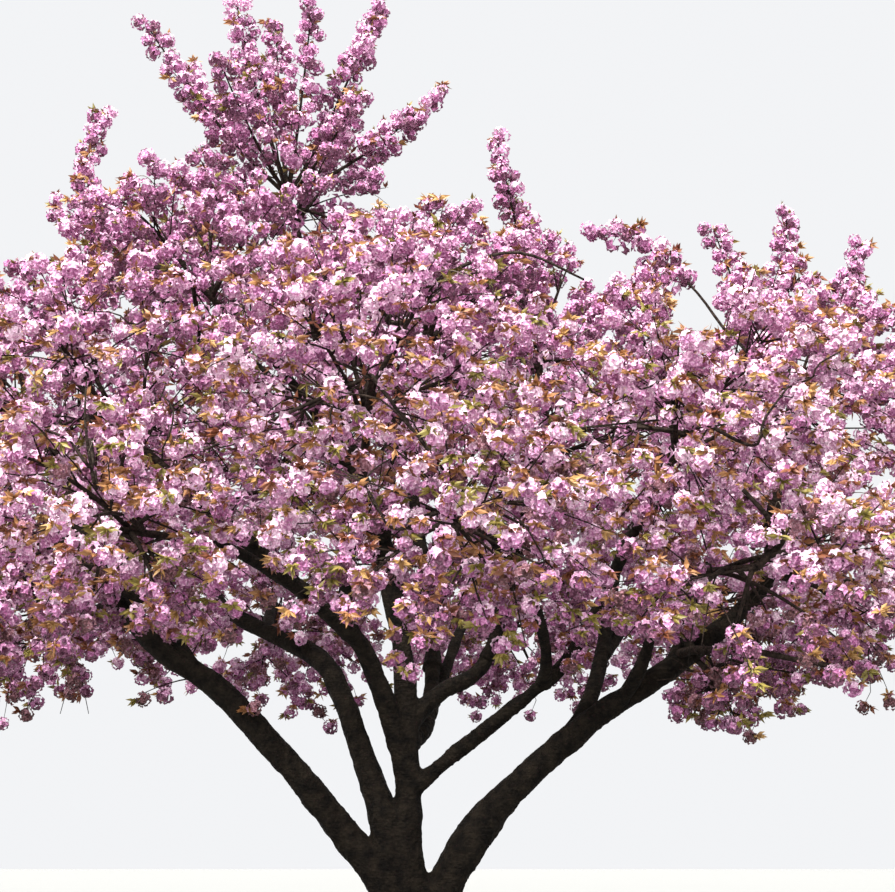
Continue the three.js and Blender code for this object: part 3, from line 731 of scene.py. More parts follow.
class Sites:
    """The places of the clusters: each with the foot of its spur and how close its neighbours may be."""

    def __init__(self):
        self.rows = []

    def along(self, paths, bare, spurs, draw):
        """Round twigs past their bare share, each cluster on a short spur."""
        spacing, first, last, rise, between = spurs
        for path in paths:
            line = Path(path)
            shares = np.arange(bare, LAST_SHARE, spacing / line.length)
            if not len(shares):
                continue
            part = (shares - bare) / (1 - bare)
            heading = unit(path[-1] - path[-3])
            side = unit(np.cross(heading, draw.normal(0, 1, 3)))
            angles = (GOLDEN_ANGLE * np.arange(len(shares)) + ANY_TURN * draw.random())[:, None]
            out = side * np.cos(angles) + np.cross(heading, side) * np.sin(angles)
            out = unit(out + SPUR_LEAN * heading + (0, 0, rise))
            reach = draw.uniform(lerp(first[0], last[0], part), lerp(first[1], last[1], part))
            feet = line.at(shares)
            self.add(feet + out * reach[:, None], feet, between)

    def add(self, spots, feet, between):
        """Clusters at spots."""
        self.rows.append(np.column_stack([spots, feet, np.full(len(spots), between)]))

    def below(self, tips, draw):
        """One cluster hanging from each tip."""
        drop = draw.uniform(*PENDANT_LENGTH, len(tips))
        low = tips - np.column_stack([draw.normal(0, PENDANT_SCATTER, (len(tips), 2)), drop])
        fits = low[:, 2] > PENDANT_LOWEST
        self.add(low[fits], tips[fits], CLUSTER_SPACING)

    def kept(self, masses):
        """The clusters that have room: fewer deep inside the crown."""
        rows = np.vstack(self.rows)
        rows = rows[in_reach(rows[:, :3])]
        depth = np.full(len(rows), -np.inf)
        for mass in masses.values():
            depth = np.maximum(depth, 1 - away_from(mass, rows[:, :3]))
        rows[depth > INNER_DEPTH, 6] = INNER_SPACING
        chosen = thinned(rows[:, :3], rows[:, 6])
        return rows[chosen, :3], rows[chosen, 3:6], rows[chosen, 6] == BRUSH_SPACING


def openness_of(points):
    """The share of all directions from which each cluster shows past the others."""
    count = np.zeros(len(points))
    for ahead in spiral(SIGHTS, 0.0):
        aside = unit(np.cross(ahead, SIGHT_UP))
        flat = np.floor(points @ np.stack([aside, np.cross(ahead, aside)], axis=1) / SIGHT_CELL).astype(int)
        flat -= flat.min(axis=0) - 1
        near = points @ ahead
        nearest = np.full(flat.max(axis=0) + 2, -np.inf)
        for a, b in itertools.product((-1, 0, 1), repeat=2):
            np.maximum.at(nearest, (flat[:, 0] + a, flat[:, 1] + b), near)
        count += near > nearest[flat[:, 0], flat[:, 1]] - SIGHT_DEPTH
    return count / SIGHTS


def limb_twigs(limb, step, samples, draw):
    """Short twigs that leave the outer half of a limb, clear of the other limbs."""
    count = int(LIMB_TWIG_SPAN * limb["path"].length / step)
    shares = LIMB_TWIG_FROM + LIMB_TWIG_SPAN * (np.arange(count) + draw.random(count)) / max(count, 1)
    feet = limb["path"].at(shares)
    heading = limb["path"].heading(LIMB_TWIG_MIDDLE)
    out = unit(np.cross(heading, draw.normal(0, 1, (count, 3))) + LIMB_TWIG_LEAN * heading + LIMB_TWIG_RISE)
    tips = feet + out * draw.uniform(*LIMB_TWIG_LENGTH, count)[:, None]
    fits = is_clear(tips, 2 * CLUSTER_RADIUS, samples) & (tips[:, 2] > LIMB_TWIG_LOWEST)
    return bowed(feet[fits], tips[fits], FINE_BOW, FINE_POINTS)


def switches(paths, centre, draw):
    """Bare thin twigs that arch out of others and hang."""
    chosen = paths[draw.permutation(len(paths))[:SWITCHES]]
    starts = chosen[:, SWITCH_FROM]
    level = (1, 1, 0)
    out = unit((starts - centre) * level + draw.normal(0, SWITCH_SCATTER, starts.shape) * level)
    length = draw.uniform(*SWITCH_LENGTH, len(starts))[:, None]
    tips = starts + (out * SWITCH_OUT + SWITCH_DROP) * length
    return bowed(starts, tips, SWITCH_BOW, SWITCH_POINTS)[tips[:, 2] > SWITCH_LOWEST]


def widened(points, width):
    """Rows of a place and how wide the opening is there."""
    return np.column_stack([points, np.full(len(points), width)])


def opened(bare, width, steps):
    """The openings in front of a bare length of wood, towards the camera."""
    ahead = unit(np.array(CAMERA_PLACE) - bare)
    return [widened(bare + step * ahead, width) for step in steps]


def in_gap(points, gaps):
    """Whether points lie in one of the openings."""
    away = np.linalg.norm(points[:, None] - gaps[None, :, :3], axis=2)
    return (away < gaps[:, 3]).any(axis=1)


def crosses_gap(paths, gaps):
    """Whether twigs pass through one of the openings."""
    return in_gap(paths.reshape(-1, 3), gaps).reshape(paths.shape[:2]).any(axis=1)


def fringe_share(points):
    """How full the crown is at points: thin along its lower edge."""
    return lerp(FRINGE[2], 1, rising(points[:, 2], (FRINGE[0], FRINGE[1] - FRINGE[0])))


def shoot_path(centre, place):
    """An upright shoot from a mass's centre, with its bend if it has one."""
    tip = np.array(place, float) - SHOOT_TIP
    if place in SHOOT_BENDS:
        return bezier(centre, SHOOT_BENDS[place], tip).at(np.linspace(0, 1, SHOOT_POINTS))
    return bowed(centre[None], tip[None], -TWIG_BOW, SHOOT_POINTS)[0]


# The crown grows: twigs mass by mass, then along the limbs, then the finer boughs

masses = planned_masses()
limbs = planned_limbs(masses)
stems = [mass_stem(limb) for limb in limbs.values()]
draw = np.random.default_rng(TWIG_SEED)
sites = Sites()
first_paths, fine_paths, shoot_paths, switch_paths, leaf_tips = [], [], [], [], []
gap_steps = np.linspace(0, 1, GAP_POINTS)[:, None]
sky_gaps = np.vstack([widened(lerp(np.array(near), np.array(far), gap_steps), width)
                      for near, far, width in SKY_GAPS])

for stem in stems:
    mass = stem["mass"]
    samples = limb_samples(list(limbs.values()) + [other for other in stems if other is not stem])
    away = np.linalg.norm(samples[:, :3] - mass["centre"], axis=1)
    samples = samples[away < NEAR_MASS * mass["size"]]
    first = bowed(*source_twigs(stem, masses, samples), TWIG_BOW, FIRST_POINTS)
    first_paths.append(first)
    count = max(LEAST_TWIGS, round(FINE_TWIGS * (mass["size"] / TYPICAL_SIZE) ** 2))
    starts, tips = fine_twigs(mass, masses, samples, first, count, draw)
    stay = draw.random(len(tips)) < fringe_share(tips)
    if mass["name"] == BUNCH:
        stay[:] = True
    fine = bowed(starts, tips, FINE_BOW, FINE_POINTS)
    stay &= ~crosses_gap(fine, sky_gaps)
    fine, tips = fine[stay], tips[stay]
    fine_paths.append(fine)
    switch_paths.append(switches(fine, mass["centre"], draw))
    leaf_tips.append(tips)
    sites.below(tips[(tips[:, 2] < PENDANT_TOP) & (draw.random(len(tips)) < PENDANT_SHARE)], draw)
    sites.along(fine, FINE_BARE, SPURS, draw)
    sites.along(first, FIRST_BARE, SPURS, draw)
    for place in SHOOTS.get(mass["name"], []):
        path = shoot_path(mass["centre"], place)
        shoot_paths.append(path)
        leaf_tips.append(path[-1:])
        sites.along([path], SHOOT_BARE, BRUSH, draw)

for name, limb in limbs.items():
    others = limb_samples([other for key, other in limbs.items() if key != name])
    step = LEADER_TWIG_STEP if name == "leader" else LIMB_TWIG_STEP
    paths = limb_twigs(limb, step, others, draw)
    paths = paths[~crosses_gap(paths, sky_gaps)]
    fine_paths.append(paths)
    leaf_tips.append(paths[:, -1])
    sites.along(paths, LIMB_TWIG_BARE, SPURS, draw)

openings = [sky_gaps]
fine_boughs = []
for name, rest, radii, *blooming in FINE_BOUGHS:
    start = masses[name]["centre"] if name in masses else limbs[name]["path"].at(FINE_BOUGH_AT)
    curve = through([start, *rest])
    fine_boughs.append((curve, radii))
    shown_from = curve.shares[(CURVE_POINTS - 1) // len(rest)]
    shown_to = max([shown_from, *(blooming or [1])])
    openings += opened(curve.at(np.linspace(shown_from, shown_to, SHOWN_POINTS)), OPENING + 2 * radii[0],
                       OPENING_STEPS)
    if blooming:
        sites.along([curve.at(np.linspace(0, 1, SHOWN_POINTS))], *blooming, BRUSH, draw)
        leaf_tips.append(curve.at([1.0]))
for name, ends, width in SHOWN_LIMBS:
    openings += opened(limbs[name]["path"].at(np.linspace(*ends, SHOWN_POINTS)), width, LIMB_OPENING_STEPS)

places, feet, on_shoot = sites.kept(masses)
clear = ~in_gap(places, np.vstack(openings))
in_bunch = away_from(masses[BUNCH], places) < BUNCH_REACH
clear &= in_bunch | (draw.random(len(places)) < fringe_share(places) + FRINGE_KEPT)
places, feet, on_shoot = places[clear], feet[clear], on_shoot[clear]
openness = openness_of(places)
inner = openness < SHOWN_LEAST


# Meshes from arrays


def placed(name, data):
    """A new object in the scene."""
    thing = bpy.data.objects.new(name, data)
    bpy.context.scene.collection.objects.link(thing)
    return thing


def stand_for(pieces, nodes):
    """Says of each piece which body it rides on, and hides the solids it replaces."""
    for piece in pieces:
        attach(piece, "root")
        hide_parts(*nodes)


def joined_mesh(name, vertices, triangles, material, smooth=True):
    """Objects of under MOST_TRIANGLES each from one vertex and one triangle array."""
    made = []
    count = math.ceil(len(triangles) / MOST_TRIANGLES)
    for i, part in enumerate(np.array_split(triangles, count)):
        used, index = np.unique(part, return_inverse=True)
        mesh = bpy.data.meshes.new(name)
        mesh.vertices.add(len(used))
        mesh.vertices.foreach_set("co", vertices[used].astype(np.float32).ravel())
        mesh.loops.add(3 * len(part))
        mesh.loops.foreach_set("vertex_index", index.astype(np.int32).ravel())
        mesh.polygons.add(len(part))
        mesh.polygons.foreach_set("loop_start", np.arange(0, 3 * len(part), 3, dtype=np.int32))
        mesh.polygons.foreach_set("use_smooth", np.full(len(part), smooth))
        mesh.update(calc_edges=True)
        mesh.validate()
        mesh.materials.append(material)
        made.append(placed(name if count == 1 else f"{name}_{i + 1}", mesh))
    return made


def show(name, arrays, material, smooth=True):
    """Pieces that stand for the masses."""
    stand_for(joined_mesh(name, *arrays, material, smooth), MASS_NODES)


def tube_faces(rows, sides, capped=True):
    """The triangles of a tube's wall, row by row, and of its ends."""
    row = np.arange(rows - 1)[:, None] * sides
    here = row + np.arange(sides)
    after = row + (np.arange(sides) + 1) % sides
    corners = [(here, after, after + sides), (here, after + sides, here + sides)]
    if capped:
        fan = np.arange(1, sides - 1)
        last = (rows - 1) * sides
        corners += [(last + fan * 0, last + fan, last + fan + 1), (fan * 0, fan + 1, fan)]
    return np.concatenate([np.stack(three, -1).reshape(-1, 3) for three in corners])


def tubes(paths, radii, sides, capped=True):
    """Tubes along many paths at once: paths (n, k, 3), radii (n, k). Returns vertices and triangles."""
    n, k, _ = paths.shape
    headings = unit(np.gradient(paths, axis=1))
    aside = np.where(np.abs(headings[:, 0, 2:3]) < UPRIGHT_PATH, [[0.0, 0.0, 1.0]], [[1.0, 0.0, 0.0]])
    normals = np.empty_like(paths)
    normals[:, 0] = unit(np.cross(headings[:, 0], aside))
    for i in range(1, k):
        previous = normals[:, i - 1]
        lean = (previous * headings[:, i]).sum(axis=1, keepdims=True)
        normals[:, i] = unit(previous - lean * headings[:, i])
    sideways = np.cross(headings, normals)
    angles = np.linspace(0, 2 * math.pi, sides, endpoint=False)
    ring = (normals[:, :, None] * np.cos(angles)[None, None, :, None]
            + sideways[:, :, None] * np.sin(angles)[None, None, :, None])
    vertices = (paths[:, :, None] + ring * radii[:, :, None, None]).reshape(-1, 3)
    first_vertex = (np.arange(n) * k * sides)[:, None, None]
    return vertices, (tube_faces(k, sides, capped)[None] + first_vertex).reshape(-1, 3)


def tapered(paths, radii, sides, capped=True):
    """Tubes that taper evenly from the first radius to the second."""
    along = lerp(*radii, np.linspace(0, 1, paths.shape[1]))
    return tubes(paths, np.repeat(along[None], len(paths), axis=0), sides, capped)


def together(parts):
    """Several vertex and triangle arrays as one."""
    vertices, triangles, base = [], [], 0
    for v, t in parts:
        vertices.append(v)
        triangles.append(t + base)
        base += len(v)
    return np.vstack(vertices), np.vstack(triangles)


def rotations(axes_z, spins):
    """Turns that bring +Z to the given directions, after a spin about +Z."""
    z = unit(axes_z)
    helper = np.where(np.abs(z[:, 2:3]) < UPRIGHT_AXIS, [[0.0, 0.0, 1.0]], [[1.0, 0.0, 0.0]])
    x = unit(np.cross(helper, z))
    y = np.cross(z, x)
    c, s = np.cos(spins)[:, None], np.sin(spins)[:, None]
    return np.stack([x * c + y * s, y * c - x * s, z], axis=2)


def copies(vertices, triangles, spots, turns, sizes):
    """One small shape set down many times."""
    moved = np.einsum("nij,vj->nvi", turns, vertices) * sizes[:, None, None] + spots[:, None]
    index = triangles[None] + (np.arange(len(spots)) * len(vertices))[:, None, None]
    return moved.reshape(-1, 3), index.reshape(-1, 3)


# Materials


class Look:
    """A material that is built up from its texture nodes."""

    def __init__(self, name):
        self.material = bpy.data.materials.new(name)
        self.material.use_nodes = True
        self.tree = self.material.node_tree

    def fill(self, node, inputs):
        """Sets a node's inputs to values, or joins them to other nodes' outputs."""
        for name, value in inputs.items():
            if isinstance(value, bpy.types.NodeSocket):
                self.tree.links.new(value, node.inputs[name])
            else:
                node.inputs[name].default_value = value

    def add(self, kind, output, inputs=(), **settings):
        """One output of a new node."""
        node = self.tree.nodes.new("ShaderNode" + kind)
        for name, value in settings.items():
            setattr(node, name, value)
        self.fill(node, dict(inputs))
        return node.outputs[output]

    def ramp(self, share, *stops):
        """A colour by a share, between two stops, each a position and a colour."""
        node = self.tree.nodes.new("ShaderNodeValToRGB")
        for stop, (position, colour) in zip(node.color_ramp.elements, stops):
            stop.position = position
            stop.color = (*colour, 1)
        self.fill(node, {"Fac": share})
        return node.outputs["Color"]

    def surface(self, inputs):
        """The finished material."""
        self.fill(self.tree.nodes["Principled BSDF"], inputs)
        return self.material


def petal_material(name, crease, petal):
    """Ruffled petals: each pale in its middle, with a deeper pink crease round it, partly the petals' own
    colour and partly painted shade in the creases.
    """
    look = Look(name)
    place = look.add("TexCoord", "Object")
    depth = look.add("TexVoronoi", "Distance", {"Vector": place, "Scale": 78.0})
    bump = look.add("Bump", "Normal", {"Height": depth, "Strength": 0.9, "Distance": 0.004}, invert=True)
    return look.surface({
        "Base Color": look.ramp(depth, (0.18, petal), (0.66, crease)), "Normal": bump, "Roughness": 0.62,
        "Sheen Weight": 0.25, "Sheen Roughness": 0.5, "Specular IOR Level": 0.25})


def bark_material(name, low, high, scale):
    """Bark: dark and paler patches, cross marks and furrows."""
    look = Look(name)
    place = look.add("TexCoord", "Object")
    patches = look.add("TexNoise", "Fac", {"Vector": place, "Scale": scale, "Detail": 8.0,
                                           "Roughness": 0.65})
    squashed = look.add("Mapping", "Vector", {"Vector": place, "Scale": (9.0, 9.0, 42.0)})
    marks = look.add("TexNoise", "Fac", {"Vector": squashed, "Scale": 2.4, "Detail": 6.0})
    grain = look.add("TexVoronoi", "Distance", {"Vector": place, "Scale": 46.0})
    height = look.add("Math", "Value", {0: marks, 1: grain}, operation="ADD")
    bump = look.add("Bump", "Normal", {"Height": height, "Strength": 0.85, "Distance": 0.012})
    return look.surface({"Base Color": look.ramp(patches, (0.38, low), (0.7, high)), "Normal": bump,
                         "Roughness": 0.88, "Specular IOR Level": 0.16})


def leaf_material(name, low, high):
    """Young leaves: satin, from one tint to a close one."""
    look = Look(name)
    place = look.add("TexCoord", "Object")
    patches = look.add("TexNoise", "Fac", {"Vector": place, "Scale": 18.0})
    veins = look.add("TexWave", "Fac", {"Vector": place, "Scale": 60.0, "Distortion": 3.0})
    bump = look.add("Bump", "Normal", {"Height": veins, "Strength": 0.3, "Distance": 0.002})
    return look.surface({"Base Color": look.ramp(patches, (0.35, low), (0.65, high)), "Normal": bump,
                         "Roughness": 0.42})


BARK = bark_material("bark", (0.004, 0.003, 0.0022), (0.024, 0.018, 0.012), scale=14.0)
TWIG_BARK = bark_material("twig_bark", (0.012, 0.008, 0.006), (0.05, 0.035, 0.027), scale=30.0)
GREY_BARK = bark_material("grey_bark", (0.14, 0.115, 0.09), (0.34, 0.29, 0.23), scale=40.0)
# Seven tones of one petal material, crease and petal colour: they carry the blossom's own spread of pinks
# and also painted light and shade, the paler ones for lit flowers, the deeper ones for shaded ones, dusk
# and umber for the browner shade under the crown
TONES = {name: petal_material(f"petal_{name}", crease, petal) for name, crease, petal in (
    ("blush", (0.74, 0.48, 0.63), (0.90, 0.76, 0.85)),
    ("pale", (0.62, 0.31, 0.50), (0.91, 0.70, 0.83)),
    ("pink", (0.48, 0.185, 0.37), (0.84, 0.53, 0.73)),
    ("rose", (0.31, 0.08, 0.215), (0.64, 0.30, 0.52)),
    ("deep", (0.13, 0.035, 0.075), (0.34, 0.14, 0.24)),
    ("dusk", (0.25, 0.095, 0.12), (0.54, 0.30, 0.36)),
    ("umber", (0.10, 0.035, 0.04), (0.28, 0.13, 0.15)),
)}
TINTS = {name: leaf_material(f"leaf_{name}", low, high) for name, low, high in (
    ("bronze", (0.25, 0.11, 0.04), (0.38, 0.18, 0.065)),
    ("amber", (0.38, 0.21, 0.07), (0.50, 0.30, 0.11)),
    ("olive", (0.17, 0.14, 0.025), (0.28, 0.22, 0.05)),
    ("russet", (0.15, 0.05, 0.025), (0.24, 0.08, 0.035)),
)}


# Blossom


def flower_kind(count, dice):
    """One double flower, 1 in radius, facing +Z: a ruffled rosette with a sunken middle."""
    turn = np.arange(count)
    angle = 2 * math.pi * turn / count + dice.uniform(-PETAL_TURN, PETAL_TURN, count)
    fold = turn % 2 == 1
    reach = np.where(fold, PETAL_FOLD[0], PETAL_TIP[0]) * dice.uniform(*PETAL_REACH, count)
    height = np.where(fold, PETAL_FOLD[1], PETAL_TIP[1]) + dice.uniform(-PETAL_RISE, PETAL_RISE, count)
    rim = np.column_stack([reach * np.cos(angle), reach * np.sin(angle), height])
    vertices = np.vstack([rim, [[0, 0, FLOWER_EYE]]])
    return vertices, np.column_stack([turn, (turn + 1) % count, np.full(count, count)])


def flowers_of(clusters, count, flower_radius, dice):
    """Flowers all round each cluster: their places, facings, sizes and whose they are."""
    n = len(clusters)
    spins = rotations(dice.normal(0, 1, (n, 3)), dice.uniform(0, ANY_TURN, n))
    facings = unit(spiral(count, 0.0)[None] + dice.normal(0, FACING_SCATTER, (n, count, 3)))
    facings = np.einsum("nij,nfj->nfi", spins, facings)
    growth = dice.uniform(*CLUSTER_GROWTH, (n, 1))
    reach = CLUSTER_RADIUS * growth * dice.uniform(*FLOWER_DEPTHS, (n, count))
    spots = clusters[:, None] + facings * reach[:, :, None]
    sizes = flower_radius * growth * dice.uniform(*FLOWER_SIZES, (n, count))
    return spots.reshape(-1, 3), facings.reshape(-1, 3), sizes.ravel(), np.repeat(np.arange(n), count)


def tone_by(score, is_dusky):
    """The tone's index for each score, in the browner tones of painted shade where the cluster is dusky."""
    tone = np.digitize(-score, TONE_STEPS)
    return np.where(is_dusky, DUSKY_TONES[tone], tone)


def add_blooms(shapes, kind, tone, spots, turns, sizes):
    """Adds copies of shapes to the blooms of their tones."""
    for index, name in enumerate(TONES):
        for which, shape in enumerate(shapes):
            own = (kind == which) & (tone == index)
            blooms[name].append(copies(*shape, spots[own], turns[own], sizes[own]))


dice = np.random.default_rng(BLOSSOM_SEED)
full_kinds = [flower_kind(FLOWER_FACES, dice) for _ in range(FLOWER_KINDS)]
plain_kinds = [flower_kind(INNER_FLOWER_FACES, dice) for _ in range(FLOWER_KINDS)]
heights = places[:, 2]
# Painted light and shade: open clusters take paler tones; low ones, those in the crown's shade and those on
# its lower rim take deeper ones
open_light = rising(openness, OPEN_ZONE)
lower = rising(heights, LOWER_ZONE)
rim = rising(heights, RIM_ZONE)
cluster_score = (SCORE["middle"] + SCORE["open_light"] * open_light - SCORE["high"] * rising(heights, HIGH_ZONE)
                 - SCORE["low"] * rising(heights, LOW_ZONE) - SCORE["shaded"] * lower * (1 - open_light)
                 - SCORE["rim"] * rim + dice.normal(0, SCORE["scatter"], len(places)))
# Painted shade: clusters under the crown's middle and in its shade take the browner tones, fewer along the
# lower rim
sheltered = rising(np.abs(places[:, 1]), SHELTER_ZONE)
under = np.minimum(rising(heights, UNDER_ZONE), UNDER_MOST) * lerp(SHELTER_LEAST, 1, sheltered)
shade_brown_share = (under + SHADED_DUSKY * lower * (1 - open_light)) * (1 - RIM_DUSKY * rim)
dusky = dice.random(len(places)) < shade_brown_share
leafy = inner & (dice.random(len(places)) < lerp(*HIDDEN_LEAFY, lower))
blooms = {name: [] for name in TONES}
for chosen, kinds, count, radius in ((~inner, full_kinds, FLOWERS, FLOWER_RADIUS),
                                     (inner & ~leafy, plain_kinds, INNER_FLOWERS, INNER_FLOWER_RADIUS)):
    spots, facings, sizes, owner = flowers_of(places[chosen], count, radius, dice)
    # Painted top light: each flower is paler the more it faces up
    score = (cluster_score[chosen][owner] + SCORE["facing"] * facings[:, 2]
             + dice.normal(0, SCORE["flower_scatter"], len(owner)))
    turns = rotations(facings, dice.uniform(0, ANY_TURN, len(spots)))
    kind = dice.integers(0, FLOWER_KINDS, len(spots))
    add_blooms(kinds, kind, tone_by(score, dusky[chosen][owner]), spots, turns, sizes)
outer = places[~inner]
turns = rotations(dice.normal(0, 1, (len(outer), 3)), dice.uniform(0, ANY_TURN, len(outer)))
sizes = CLUSTER_RADIUS * HEART_SHARE * dice.uniform(*HEART_SIZES, len(outer))
# Painted shade: each heart is a step deeper in tone than its cluster
tone = tone_by(cluster_score[~inner] - HEART_SHADE, dusky[~inner])
add_blooms([HEART], np.zeros(len(outer)), tone, outer, turns, sizes)
for name, parts in blooms.items():
    show(f"blossom_{name}", together(parts), TONES[name], smooth=False)


# Leaves: pointed, folded along the rib, in tufts at the tips and between the clusters


def tufts(kind, roots, axes, dice):
    """Leaves fanned round an axis at each root, all of a tuft in one tint."""
    n = len(roots)
    count, spread, length, shares = TUFTS[kind]
    headings = unit(axes[:, None] + dice.normal(0, spread, (n, count, 3)) - (0, 0, DROOP))
    tint = np.repeat(dice.choice(len(TINTS), n, p=shares), count)
    lengths = length * dice.uniform(*LEAF_SIZES, n * count)
    return np.repeat(roots, count, axis=0), headings.reshape(-1, 3), lengths, tint


tips = np.vstack(leaf_tips)
tips = tips[(tips[:, 2] > TIP_LEAVES_FROM) & in_reach(tips)]
tufted = outer[dice.random(len(outer)) < lerp(*TUFT_SHARES, rising(outer[:, 2], TUFT_ZONE))]
scatter = dice.normal(0, TUFT_SCATTER, (len(tufted), 3))
above = unit(unit(tufted - CROWN_MIDDLE) * TUFT_LEVEL + TUFT_LIFT + scatter)
shooting = places[on_shoot & (dice.random(len(places)) < SHOOT_LEAFY)]
upward = np.tile([0.0, 0.0, 1.0], (len(shooting), 1))
hidden = places[leafy]
groups = [tufts("shoot", shooting + upward * CLUSTER_RADIUS, upward, dice),
          tufts("tip", tips, unit(unit(tips - CROWN_MIDDLE) + TIP_LIFT), dice),
          tufts("hidden", hidden, unit(hidden - CROWN_MIDDLE), dice)]
is_high = tufted[:, 2] > HIGH_FROM
for kind, part in (("high", is_high), ("low", ~is_high)):
    bases = tufted[part] + above[part] * CLUSTER_RADIUS * TUFT_RISE
    groups.append(tufts(kind, bases, TUFT_AXIS * above[part], dice))
roots, headings, lengths, tints = (np.concatenate(column) for column in zip(*groups))
turns = rotations(headings, dice.uniform(0, ANY_TURN, len(roots)))
for index, (name, material) in enumerate(TINTS.items()):
    own = tints == index
    arrays = copies(*LEAF, roots[own], turns[own], lengths[own])
    show(f"leaves_{name}", arrays, material, smooth=False)


# Twigs

stem_shares = np.linspace(0, 1, STEM_POINTS)
twig_parts = [
    tapered(np.vstack(first_paths), (TWIG_RADII[0], FIRST_TIP_RADIUS), FIRST_SIDES),
    tapered(np.vstack(fine_paths), FINE_RADII, FINE_SIDES),
    tapered(np.stack(shoot_paths), SHOOT_RADII, SHOOT_SIDES),
    tapered(np.stack([feet, places], axis=1), SPUR_RADII, SPUR_SIDES, capped=False),
    tubes(np.stack([stem["path"].at(stem_shares) for stem in stems]),
          np.stack([stem["radius_at"](stem_shares) for stem in stems]), STEM_SIDES),
]
for curve, radii in fine_boughs:
    twig_parts.append(tapered(curve.at(np.linspace(0, 1, BOUGH_POINTS))[None], radii, BOUGH_SIDES))
show("twigs", together(twig_parts), TWIG_BARK)
show("bare_twigs", tapered(np.vstack(switch_paths), SWITCH_RADII, SWITCH_SIDES), GREY_BARK)


# Trunk and boughs, fused, with the bark's relief


def trunk_mesh():
    """The foot: two stems grown together, with root lobes and a flat cut at ground level."""
    angles = np.linspace(0, 2 * math.pi, TRUNK_SIDES, endpoint=False)
    angles = np.where(angles > math.pi, angles - 2 * math.pi, angles)
    heights = (TRUNK_HEIGHT + TRUNK_OVERLAP) * np.linspace(0, 1, TRUNK_ROWS) ** ROW_EASE
    a, h = np.meshgrid(angles, heights)
    t = TRUNK
    oval = 1 / np.hypot(np.cos(a) / t["half_width"], np.sin(a) / t["half_depth"])
    seam = t["seam_depth"] * np.exp(-((np.cos(a) / t["seam_width"]) ** 2))
    lobe = (0.5 + 0.5 * np.cos(t["lobes"] * a + t["lobe_phase"])) ** LOBE_EASE
    flare = t["flare"] * lobe * np.exp(-h / t["flare_height"])
    heel = t["heel"] * np.exp(-((a / t["heel_width"]) ** 2) - h / t["heel_height"])
    breadth = oval - seam + flare + heel
    shift = t["lean"] * (1 - np.exp(-h / t["flare_height"]))
    vertices = np.stack([shift + breadth * np.cos(a), breadth * np.sin(a), h], -1).reshape(-1, 3)
    return vertices, tube_faces(TRUNK_ROWS, TRUNK_SIDES)


def limb_mesh(limb, collar):
    """One limb as a smooth tapering tube with a collar at its foot."""
    path = limb["path"]
    shares = np.linspace(0, 1, max(LIMB_LEAST_ROWS, int(path.length / LIMB_ROW)))
    radii = limb["radius_at"](shares) * (1 + collar * np.exp(-shares * path.length / COLLAR_REACH))
    return tubes(path.at(shares)[None], radii[None], LIMB_RING)


def lattice_noise(points, scale, seed):
    """Smooth noise from 0 to 1 at points."""
    grid = np.random.default_rng(seed).random((LATTICE, LATTICE, LATTICE))
    p = points * scale
    low = np.floor(p).astype(int)
    f = p - low
    f = f * f * (3 - 2 * f)
    total = np.zeros(len(points))
    for corner in range(8):
        bits = np.array([(corner >> k) & 1 for k in range(3)])
        weight = np.prod(np.where(bits, f, 1 - f), axis=1)
        cell = (low + bits) % LATTICE
        total += weight * grid[cell[:, 0], cell[:, 1], cell[:, 2]]
    return total


def fused(vertices, triangles):
    """One closed mesh round everything, by voxels, with its creases eased."""
    source = joined_mesh("source", vertices, triangles, BARK)[0]
    remesh = source.modifiers.new("remesh", "REMESH")
    remesh.mode = "VOXEL"
    remesh.voxel_size = VOXEL
    ease = source.modifiers.new("ease", "SMOOTH")
    ease.factor = EASE_FACTOR
    ease.iterations = EASE_TIMES
    bpy.context.view_layer.update()
    graph = bpy.context.evaluated_depsgraph_get()
    mesh = bpy.data.meshes.new_from_object(source.evaluated_get(graph))
    bpy.data.objects.remove(source)
    return mesh


def read_points(mesh, what):
    """The places or normals of a mesh's vertices."""
    values = np.empty(3 * len(mesh.vertices), np.float32)
    mesh.vertices.foreach_get(what, values)
    return values.reshape(-1, 3).astype(float)


def with_relief(mesh, knot_depth):
    """Furrows, strongest low down, knots and fine grain, pushed into the mesh itself."""
    place, normal = read_points(mesh, "co"), read_points(mesh, "normal")
    furrow = 1 - np.abs(2 * lattice_noise(place * FURROW_STRETCH, *FURROW_NOISE) - 1)
    knots = lattice_noise(place, *KNOT_NOISE) - 0.5
    grain = lattice_noise(place, *GRAIN_NOISE) - 0.5
    low_down = np.clip(FADE_FROM - place[:, 2] / FADE_HEIGHT, FADE_LEAST, 1)
    push = low_down * (FURROW_DEPTH * (furrow - FURROW_MIDDLE)) + knot_depth * knots + GRAIN_DEPTH * grain
    above_foot = np.clip(place[:, 2] / FOOT_EASE, 0, 1)
    place += normal * (push * above_foot)[:, None]
    place[:, 2] = np.maximum(place[:, 2], 0)
    mesh.vertices.foreach_set("co", place.astype(np.float32).ravel())
    mesh.update()
    for polygon in mesh.polygons:
        polygon.use_smooth = True


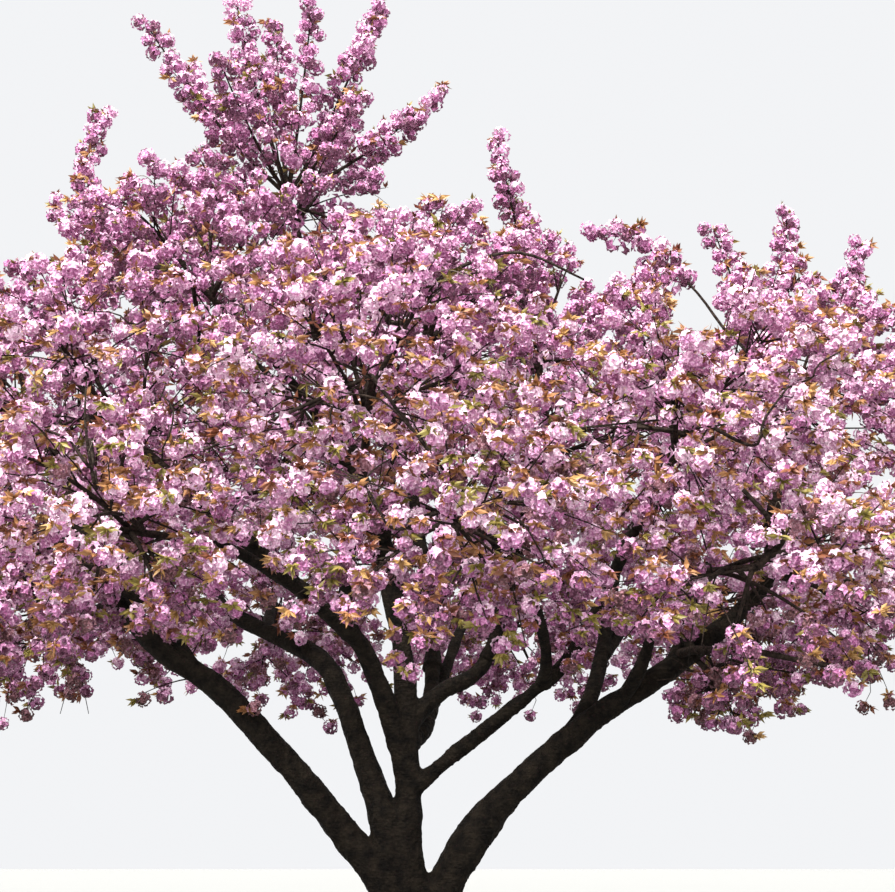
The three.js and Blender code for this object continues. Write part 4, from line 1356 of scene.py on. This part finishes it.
main_names = [row[0] for row in STEMS]
side_names = [name for name in limbs if name not in main_names]
wood = fused(*together([trunk_mesh()] + [limb_mesh(limbs[name], MAIN_COLLAR) for name in main_names]))
wood.name = "bark_main"
with_relief(wood, MAIN_KNOTS)
wood.materials.clear()
wood.materials.append(BARK)
stand_for([placed("bark_main", wood)], ["trunk"] + main_names)
side_parts = together([limb_mesh(limbs[name], SIDE_COLLAR) for name in side_names])
side_pieces = joined_mesh("bark_boughs", *side_parts, BARK)
for piece in side_pieces:
    with_relief(piece.data, SIDE_KNOTS)
stand_for(side_pieces, side_names)


# The stage


def stage_floor():
    """A plain pale floor, a hair under the foot."""
    bpy.ops.mesh.primitive_plane_add(size=FLOOR_SIZE, location=(0, 0, FLOOR_HEIGHT))
    floor = bpy.context.object
    floor.name = "floor"
    look = Look("floor")
    patches = look.add("TexNoise", "Fac", {"Scale": 1.5})
    colour = look.ramp(patches, (0, FLOOR_COLOURS[0]), (1, FLOOR_COLOURS[1]))
    floor.data.materials.append(look.surface({"Base Color": colour, "Roughness": 0.9}))


def lights():
    """A pale sky, a soft sun and two fills."""
    world = bpy.data.worlds.new("sky")
    bpy.context.scene.world = world
    world.use_nodes = True
    background = world.node_tree.nodes["Background"]
    background.inputs["Color"].default_value = SKY_COLOUR
    background.inputs["Strength"].default_value = SKY_STRENGTH
    for name, strength, spread, lean, turn in LIGHTS:
        lamp = bpy.data.lights.new(name, "SUN")
        lamp.energy = strength
        lamp.angle = math.radians(spread)
        lamp.color = LIGHT_COLOUR
        placed(name, lamp).rotation_euler = (math.radians(lean), 0, math.radians(turn))


def camera():
    """The photograph's camera."""
    data = bpy.data.cameras.new("camera")
    data.sensor_width = SENSOR
    data.lens = FOCAL_PX / PHOTO_WIDTH * SENSOR
    data.clip_end = VIEW_DISTANCE
    eye = placed("camera", data)
    eye.location = CAMERA_PLACE
    pitch = math.atan((HORIZON_PX - PHOTO_HEIGHT / 2) / FOCAL_PX)
    eye.rotation_euler = (math.pi / 2 + pitch, 0, 0)
    bpy.context.scene.camera = eye
    bpy.context.scene.view_settings.view_transform = "Standard"


stage_floor()
lights()
camera()
